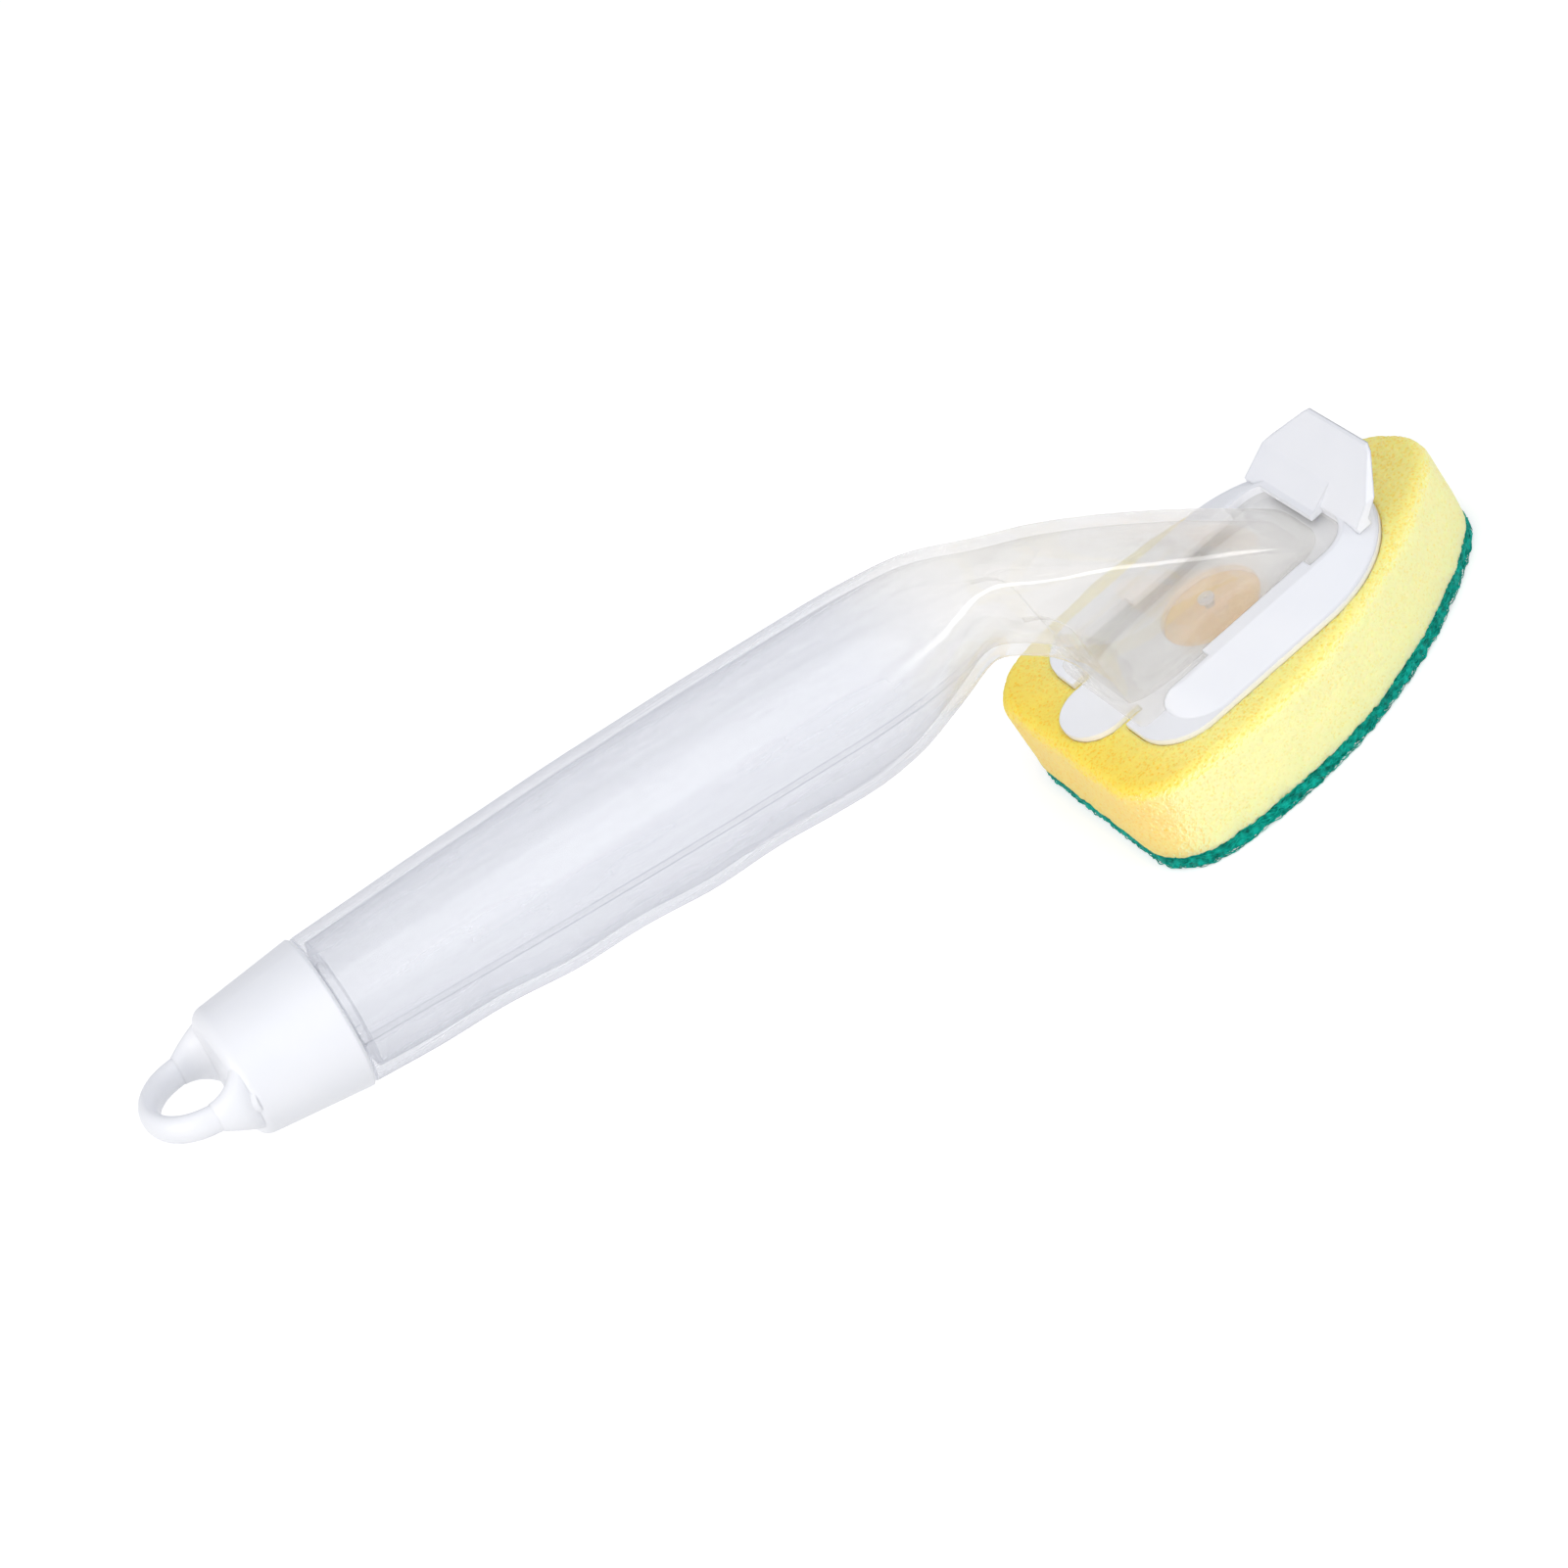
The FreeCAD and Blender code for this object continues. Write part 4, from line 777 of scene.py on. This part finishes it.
def make_foam(material):
    """Foam block: soft upper edge, pressed in under the plate, open cells all over."""
    foam = foam_block()
    points, normals = read_points(foam)
    upper = step(*UPPER_FADE, points[:, 2])
    gap = plate_distance(points)
    under = upper * (1 - step(*UNDER_FADE, gap))
    swell = SWELL * np.exp(-np.maximum(gap, 0) / SWELL_REACH) * step(*SWELL_FADE, gap)
    uneven = noise_sum(points, FOAM_LUMPS) - foam_pores(points)
    points += normals * (uneven * (1 - PRESSED_FLAT * under))[:, None]
    points[:, 2] += upper * swell
    pressed = np.minimum(points[:, 2], FOAM_TOP - PLATE_GAP)
    points[:, 2] = np.where(under > MOSTLY_UNDER, pressed, points[:, 2])
    low = 1 - step(PAD_TOP, PAD_TOP + RAGGED_HEIGHT, points[:, 2])
    points[:, 2] += low * noise_sum(points, FOAM_RAGGED)
    points[:, 2] = np.maximum(points[:, 2], PAD_TOP - RAGGED_DROP)
    write_points(foam, points)
    foam.data.materials.append(material)
    return foam


# Scouring pad

# Core of the pad: (height, inset) levels, roughness as (height, cell, salt) layers, cells and depth of its
# hollows, how far the web stands proud, heights over which its flat top begins, the least upward part of the
# normal there, and its limits.
PAD_LEVELS = ((0.35, 1.0), (0.5, 0.55), (1.2, 0.3), (2.6, 0.35), (PAD_TOP - 0.1, 0.7))
WEB_ROUGH = ((0.33, 1.1, 73), (0.21, 0.6, 79))
HOLLOW_CELL = 1.7
HOLLOW_SALT = 71
HOLLOW_DEPTH = 0.375
HOLLOW_FADE = (0.15, 0.8)
WEB_PROUD = 0.25
FLAT_TOP_FADE = (2.6, 3.2)
FACING_UP = 0.5
WEB_LOW = 0.12
WEB_HIGH = PAD_TOP + 0.15

# Loose fibres: points along each, sides of each, range of radii, and share of the radius left at the tips.
FIBRE_POINTS = 6
FIBRE_SIDES = 4
FIBRE_RADII = (0.07, 0.13)
TIP_SHARE = 0.35

# Fibres round the side: count, inset of the line they follow, and ranges of length, slope, height, outward
# bow and upward curl, then how far they are sunk and scattered, and their limits.
SIDE_COUNT = 2600
SIDE_INSET = 0.35
SIDE_LENGTHS = (1.6, 4.5)
SIDE_SLOPES = (-0.7, 0.7)
SIDE_HEIGHTS = (0.2, PAD_TOP + 0.25)
SIDE_BOWS = (-0.25, 0.45)
SIDE_CURLS = (-0.7, 0.7)
SIDE_SUNK = 0.15
SIDE_SCATTER = 0.07
SIDE_LIMITS = (0.15, PAD_TOP + 0.35)

# Fibres over the scouring face: count at most, half width they are scattered over, distance from the edge,
# ranges of length and bend, then their height, its scatter and its limits.
FACE_COUNT = 3200
FACE_HALF = 37.0
FACE_INSET = 3.0
FACE_LENGTHS = (2.5, 6.0)
FACE_BENDS = (-1.2, 1.2)
FACE_HEIGHT = 0.28
FACE_SCATTER = 0.1
FACE_LIMITS = (0.14, 0.6)


def make_pad(material):
    """Core of the scouring pad: a rough web with hollows."""
    pad = remeshed(stacked("scour_pad_web", PAD_LEVELS, OUTLINE_SPACING), MESH_SIZE)
    points, normals = read_points(pad)
    near, _ = cell_noise(points, HOLLOW_CELL, HOLLOW_SALT)
    hollow = HOLLOW_DEPTH * step(*HOLLOW_FADE, near)
    flat_top = step(*FLAT_TOP_FADE, points[:, 2]) * (normals[:, 2] > FACING_UP)
    uneven = noise_sum(points, WEB_ROUGH) - hollow + WEB_PROUD
    points += normals * (uneven * (1 - flat_top))[:, None]
    points[:, 2] = np.clip(points[:, 2], WEB_LOW, WEB_HIGH)
    write_points(pad, points)
    pad.data.materials.append(material)
    return pad


def outline_walk(inset):
    """Function that gives points round the plan, and the whole way round."""
    ring = shield_outline(inset, spacing=0.5)
    ahead = np.roll(ring, -1, axis=0)
    lengths = np.linalg.norm(ahead - ring, axis=1)
    marks = np.concatenate([[0], np.cumsum(lengths)])
    tangents = (ahead - ring) / lengths[:, None]
    total = marks[-1]

    def at(distance):
        """Points and outward directions at distances round the plan."""
        where = np.mod(distance, total)
        index = np.clip(np.searchsorted(marks, where, side="right") - 1, 0, len(ring) - 1)
        point = ring[index] + tangents[index] * (where - marks[index])[:, None]
        out = np.stack([tangents[index][:, 1], -tangents[index][:, 0]], axis=1)
        return point, out

    return at, total


def inside_shield(points, inset):
    """Whether plan points lie inside the foam's outline, by the edges that a line from each point crosses."""
    never_zero = 1e-12
    ring = shield_outline(inset, spacing=1.5)
    ahead = np.roll(ring, -1, axis=0)
    x, y = points[:, 0:1], points[:, 1:2]
    crosses = (ring[:, 1] > y) != (ahead[:, 1] > y)
    slant = (ahead[:, 0] - ring[:, 0]) * (y - ring[:, 1]) / (ahead[:, 1] - ring[:, 1] + never_zero)
    return (np.sum(crosses & (x < slant + ring[:, 0]), axis=1) % 2) == 1


def tubes(name, paths, radii, sides):
    """One mesh of thin closed tubes along paths of shape (tube, step, 3), in millimetres."""
    steep = 0.8
    count, steps, _ = paths.shape
    ahead = np.gradient(paths, axis=1)
    ahead /= np.linalg.norm(ahead, axis=2, keepdims=True)
    helper = np.where(np.abs(ahead[..., 2:3]) > steep, np.array([1.0, 0, 0]), np.array([0, 0, 1.0]))
    across = np.cross(ahead, helper)
    across /= np.linalg.norm(across, axis=2, keepdims=True)
    over = np.cross(ahead, across)
    taper = np.ones(steps)
    taper[[0, -1]] = TIP_SHARE
    reach = (radii[:, None] * taper)[..., None]
    rings = []
    for side in range(sides):
        turn = 2 * math.pi * side / sides
        rings.append(paths + (across * math.cos(turn) + over * math.sin(turn)) * reach)
    points = np.stack(rings, axis=2).reshape(-1, 3)
    faces = []
    for tube in range(count):
        faces += band_faces(tube * steps * sides, steps, sides)
    made = mesh_object(name, points, faces)
    made.data.polygons.foreach_set("use_smooth", np.ones(len(made.data.polygons), bool))
    return made


def side_fibres(along):
    """Paths of fibres round the pad's side."""
    at, total = outline_walk(SIDE_INSET)
    start = rng.uniform(0, total, SIDE_COUNT)
    length = rng.uniform(*SIDE_LENGTHS, SIDE_COUNT)
    slope = rng.uniform(*SIDE_SLOPES, SIDE_COUNT)
    height = rng.uniform(*SIDE_HEIGHTS, SIDE_COUNT)
    bow = rng.uniform(*SIDE_BOWS, SIDE_COUNT)
    curl = rng.uniform(*SIDE_CURLS, SIDE_COUNT)
    paths = np.empty((SIDE_COUNT, len(along), 3))
    for index, share in enumerate(along):
        # One in the middle of a fibre, zero at its ends.
        arch = 1 - 4 * share * share
        point, out = at(start + length * share)
        proud = bow * arch - SIDE_SUNK + rng.normal(0, SIDE_SCATTER, SIDE_COUNT)
        paths[:, index, :2] = point + out * proud[:, None]
        paths[:, index, 2] = height + length * slope * share + curl * arch
    paths[..., 2] = np.clip(paths[..., 2], *SIDE_LIMITS)
    return paths


def face_fibres(along):
    """Paths of fibres over the scouring face."""
    x = rng.uniform(-FOAM_REAR, FOAM_FRONT, 2 * FACE_COUNT)
    y = rng.uniform(-FACE_HALF, FACE_HALF, 2 * FACE_COUNT)
    centres = np.stack([x, y], axis=1)
    centres = centres[inside_shield(centres, FACE_INSET)][:FACE_COUNT]
    count = len(centres)
    heading = rng.uniform(0, 2 * math.pi, count)
    length = rng.uniform(*FACE_LENGTHS, count)
    bend = rng.uniform(*FACE_BENDS, count)
    forward = np.stack([np.cos(heading), np.sin(heading)], axis=1)
    sideways = np.stack([-forward[:, 1], forward[:, 0]], axis=1)
    paths = np.empty((count, len(along), 3))
    for index, share in enumerate(along):
        # Nothing in the middle of a fibre, the whole bend at its ends.
        bent = bend * (4 * share * share)
        paths[:, index, :2] = centres + forward * (length * share)[:, None] + sideways * bent[:, None]
        paths[:, index, 2] = FACE_HEIGHT + rng.normal(0, FACE_SCATTER, count)
    paths[..., 2] = np.clip(paths[..., 2], *FACE_LIMITS)
    return paths


def make_fibres(material):
    """Loose fibres of the web round the pad's side and over its face."""
    along = np.linspace(-0.5, 0.5, FIBRE_POINTS)
    paths = np.concatenate([side_fibres(along), face_fibres(along)])
    radii = rng.uniform(*FIBRE_RADII, len(paths))
    fibres = tubes("scour_pad_fibres", paths, radii, FIBRE_SIDES)
    fibres.data.materials.append(material)
    return fibres


# Stage

# Floor: half its side, how far it lies below the pad, its grey, and the glow added where it is seen.
FLOOR_HALF = 12000.0
FLOOR_DROP = 0.1
FLOOR_GREY = grey(0.72)
FLOOR_GLOW = 0.48

# Surroundings: colour of the light they give, and the white that is seen in their place.
SURROUND_LIGHT = rgb(0.575, 0.583, 0.625)
SURROUND_SEEN = grey(0.95)


def area_light(name, place, aim, size, power, colour=(1.0, 1.0, 1.0)):
    """Soft box that faces a point, in metres and watts."""
    data = bpy.data.lights.new(name, "AREA")
    data.shape = "RECTANGLE"
    data.size, data.size_y = size
    data.energy = power
    data.color = colour
    lamp = bpy.data.objects.new(name, data)
    lamp.location = place
    lamp.rotation_mode = "QUATERNION"
    lamp.rotation_quaternion = (Vector(aim) - Vector(place)).to_track_quat("-Z", "Y")
    bpy.context.scene.collection.objects.link(lamp)


def seen_directly(tree):
    """One for rays from the camera and those mirrored or bent on the way, otherwise zero."""
    path = add(tree, "LightPath").outputs
    seen = maths(tree, "ADD", path["Is Camera Ray"], path["Is Glossy Ray"], clamp=True)
    return maths(tree, "ADD", seen, path["Is Transmission Ray"], clamp=True)


def make_floor():
    """White floor that keeps the shadow."""
    corners = [(-1, -1, 0), (1, -1, 0), (1, 1, 0), (-1, 1, 0)]
    floor = mesh_object("floor", np.array(corners) * FLOOR_HALF, [(0, 1, 2, 3)])
    floor.location.z = -FLOOR_DROP * MM
    material, tree = new_tree("floor_white")
    glow = maths(tree, "MULTIPLY", seen_directly(tree), FLOOR_GLOW)
    matte = add(tree, "BsdfDiffuse", Color=FLOOR_GREY)
    lit = add(tree, "Emission", Color=grey(1.0), Strength=glow)
    total = add_in_order(tree, "AddShader", None, matte.outputs[0], lit.outputs[0])
    finish_material(tree, total.outputs[0])
    floor.data.materials.append(material)


def make_surroundings():
    """Pale surroundings that are seen as white."""
    world = bpy.data.worlds.new("studio")
    bpy.context.scene.world = world
    world.use_nodes = True
    tree = world.node_tree
    tree.nodes.clear()
    colour = mix(tree, seen_directly(tree), SURROUND_LIGHT, SURROUND_SEEN)
    sky = add(tree, "Background", Color=colour, Strength=1.0)
    add(tree, "OutputWorld", Surface=sky.outputs[0])


def make_lights():
    """Soft box above, strip for the highlight on the roof's edge, and a warm box from the rear."""
    area_light("key_box", place=(0.12, -0.85, 1.05), aim=(-0.03, 0.0, 0.05), size=(1.2, 1.2), power=5.4)
    area_light("edge_strip", place=(0.559, -0.579, 0.18), aim=(0.0, -0.02, 0.055), size=(0.92, 0.12),
               power=1.4)
    area_light("rear_box", place=(-1.9, -0.9, 0.85), aim=(0.0, 0.0, 0.03), size=(1.4, 1.4), power=20.0,
               colour=(1.0, 0.97, 0.92))


def make_camera():
    """Camera at the photograph's angle."""
    across, along = math.cos(CAMERA_AZIMUTH), math.sin(CAMERA_AZIMUTH)
    flat, raised = math.cos(CAMERA_ELEVATION), math.sin(CAMERA_ELEVATION)
    back = Vector((along * flat, -across * flat, raised))
    level = Vector((across, along, 0.0))
    upright = back.cross(level)
    right = level * math.cos(CAMERA_ROLL) + upright * math.sin(CAMERA_ROLL)
    up = upright * math.cos(CAMERA_ROLL) - level * math.sin(CAMERA_ROLL)
    data = bpy.data.cameras.new("camera")
    data.sensor_width = SENSOR_WIDTH
    data.lens = SENSOR_WIDTH * FOCAL_PIXELS / PHOTO_WIDTH_PIXELS
    data.clip_start = 0.01
    data.clip_end = 100.0
    camera = bpy.data.objects.new("camera", data)
    turn = Matrix((right, up, back)).transposed().to_4x4()
    camera.matrix_world = Matrix.Translation(CAMERA_TARGET + back * CAMERA_DISTANCE) @ turn
    bpy.context.scene.collection.objects.link(camera)
    bpy.context.scene.camera = camera


# The part


def dress(node, material):
    """Gives a carried-over CAD node its material."""
    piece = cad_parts[node]
    piece.data.materials.clear()
    piece.data.materials.append(material)


clear = clear_plastic()
white = white_plastic()
dress("handle_upper_shell", clear)
dress("handle_lower_shell", clear)
dress("end_cap", white)
dress("refill_plate", white)
dress("outlet_valve", soft_rubber("valve_silicone", VALVE_COLOURS, VALVE_CLEARNESS))
dress("cap_gasket", soft_rubber("ring_rubber", RING_COLOURS, RING_CLEARNESS))

foam = make_foam(foam_material())
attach(foam, "refill")
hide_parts("sponge")

pad = make_pad(scourer_material("web_core", CORE_COLOURS))
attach(pad, "refill")
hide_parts("scour_pad")

fibres = make_fibres(scourer_material("web_fibre", FIBRE_COLOURS))
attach(fibres, "refill")

make_floor()
make_surroundings()
make_lights()
make_camera()
bpy.context.scene.view_settings.view_transform = "Standard"
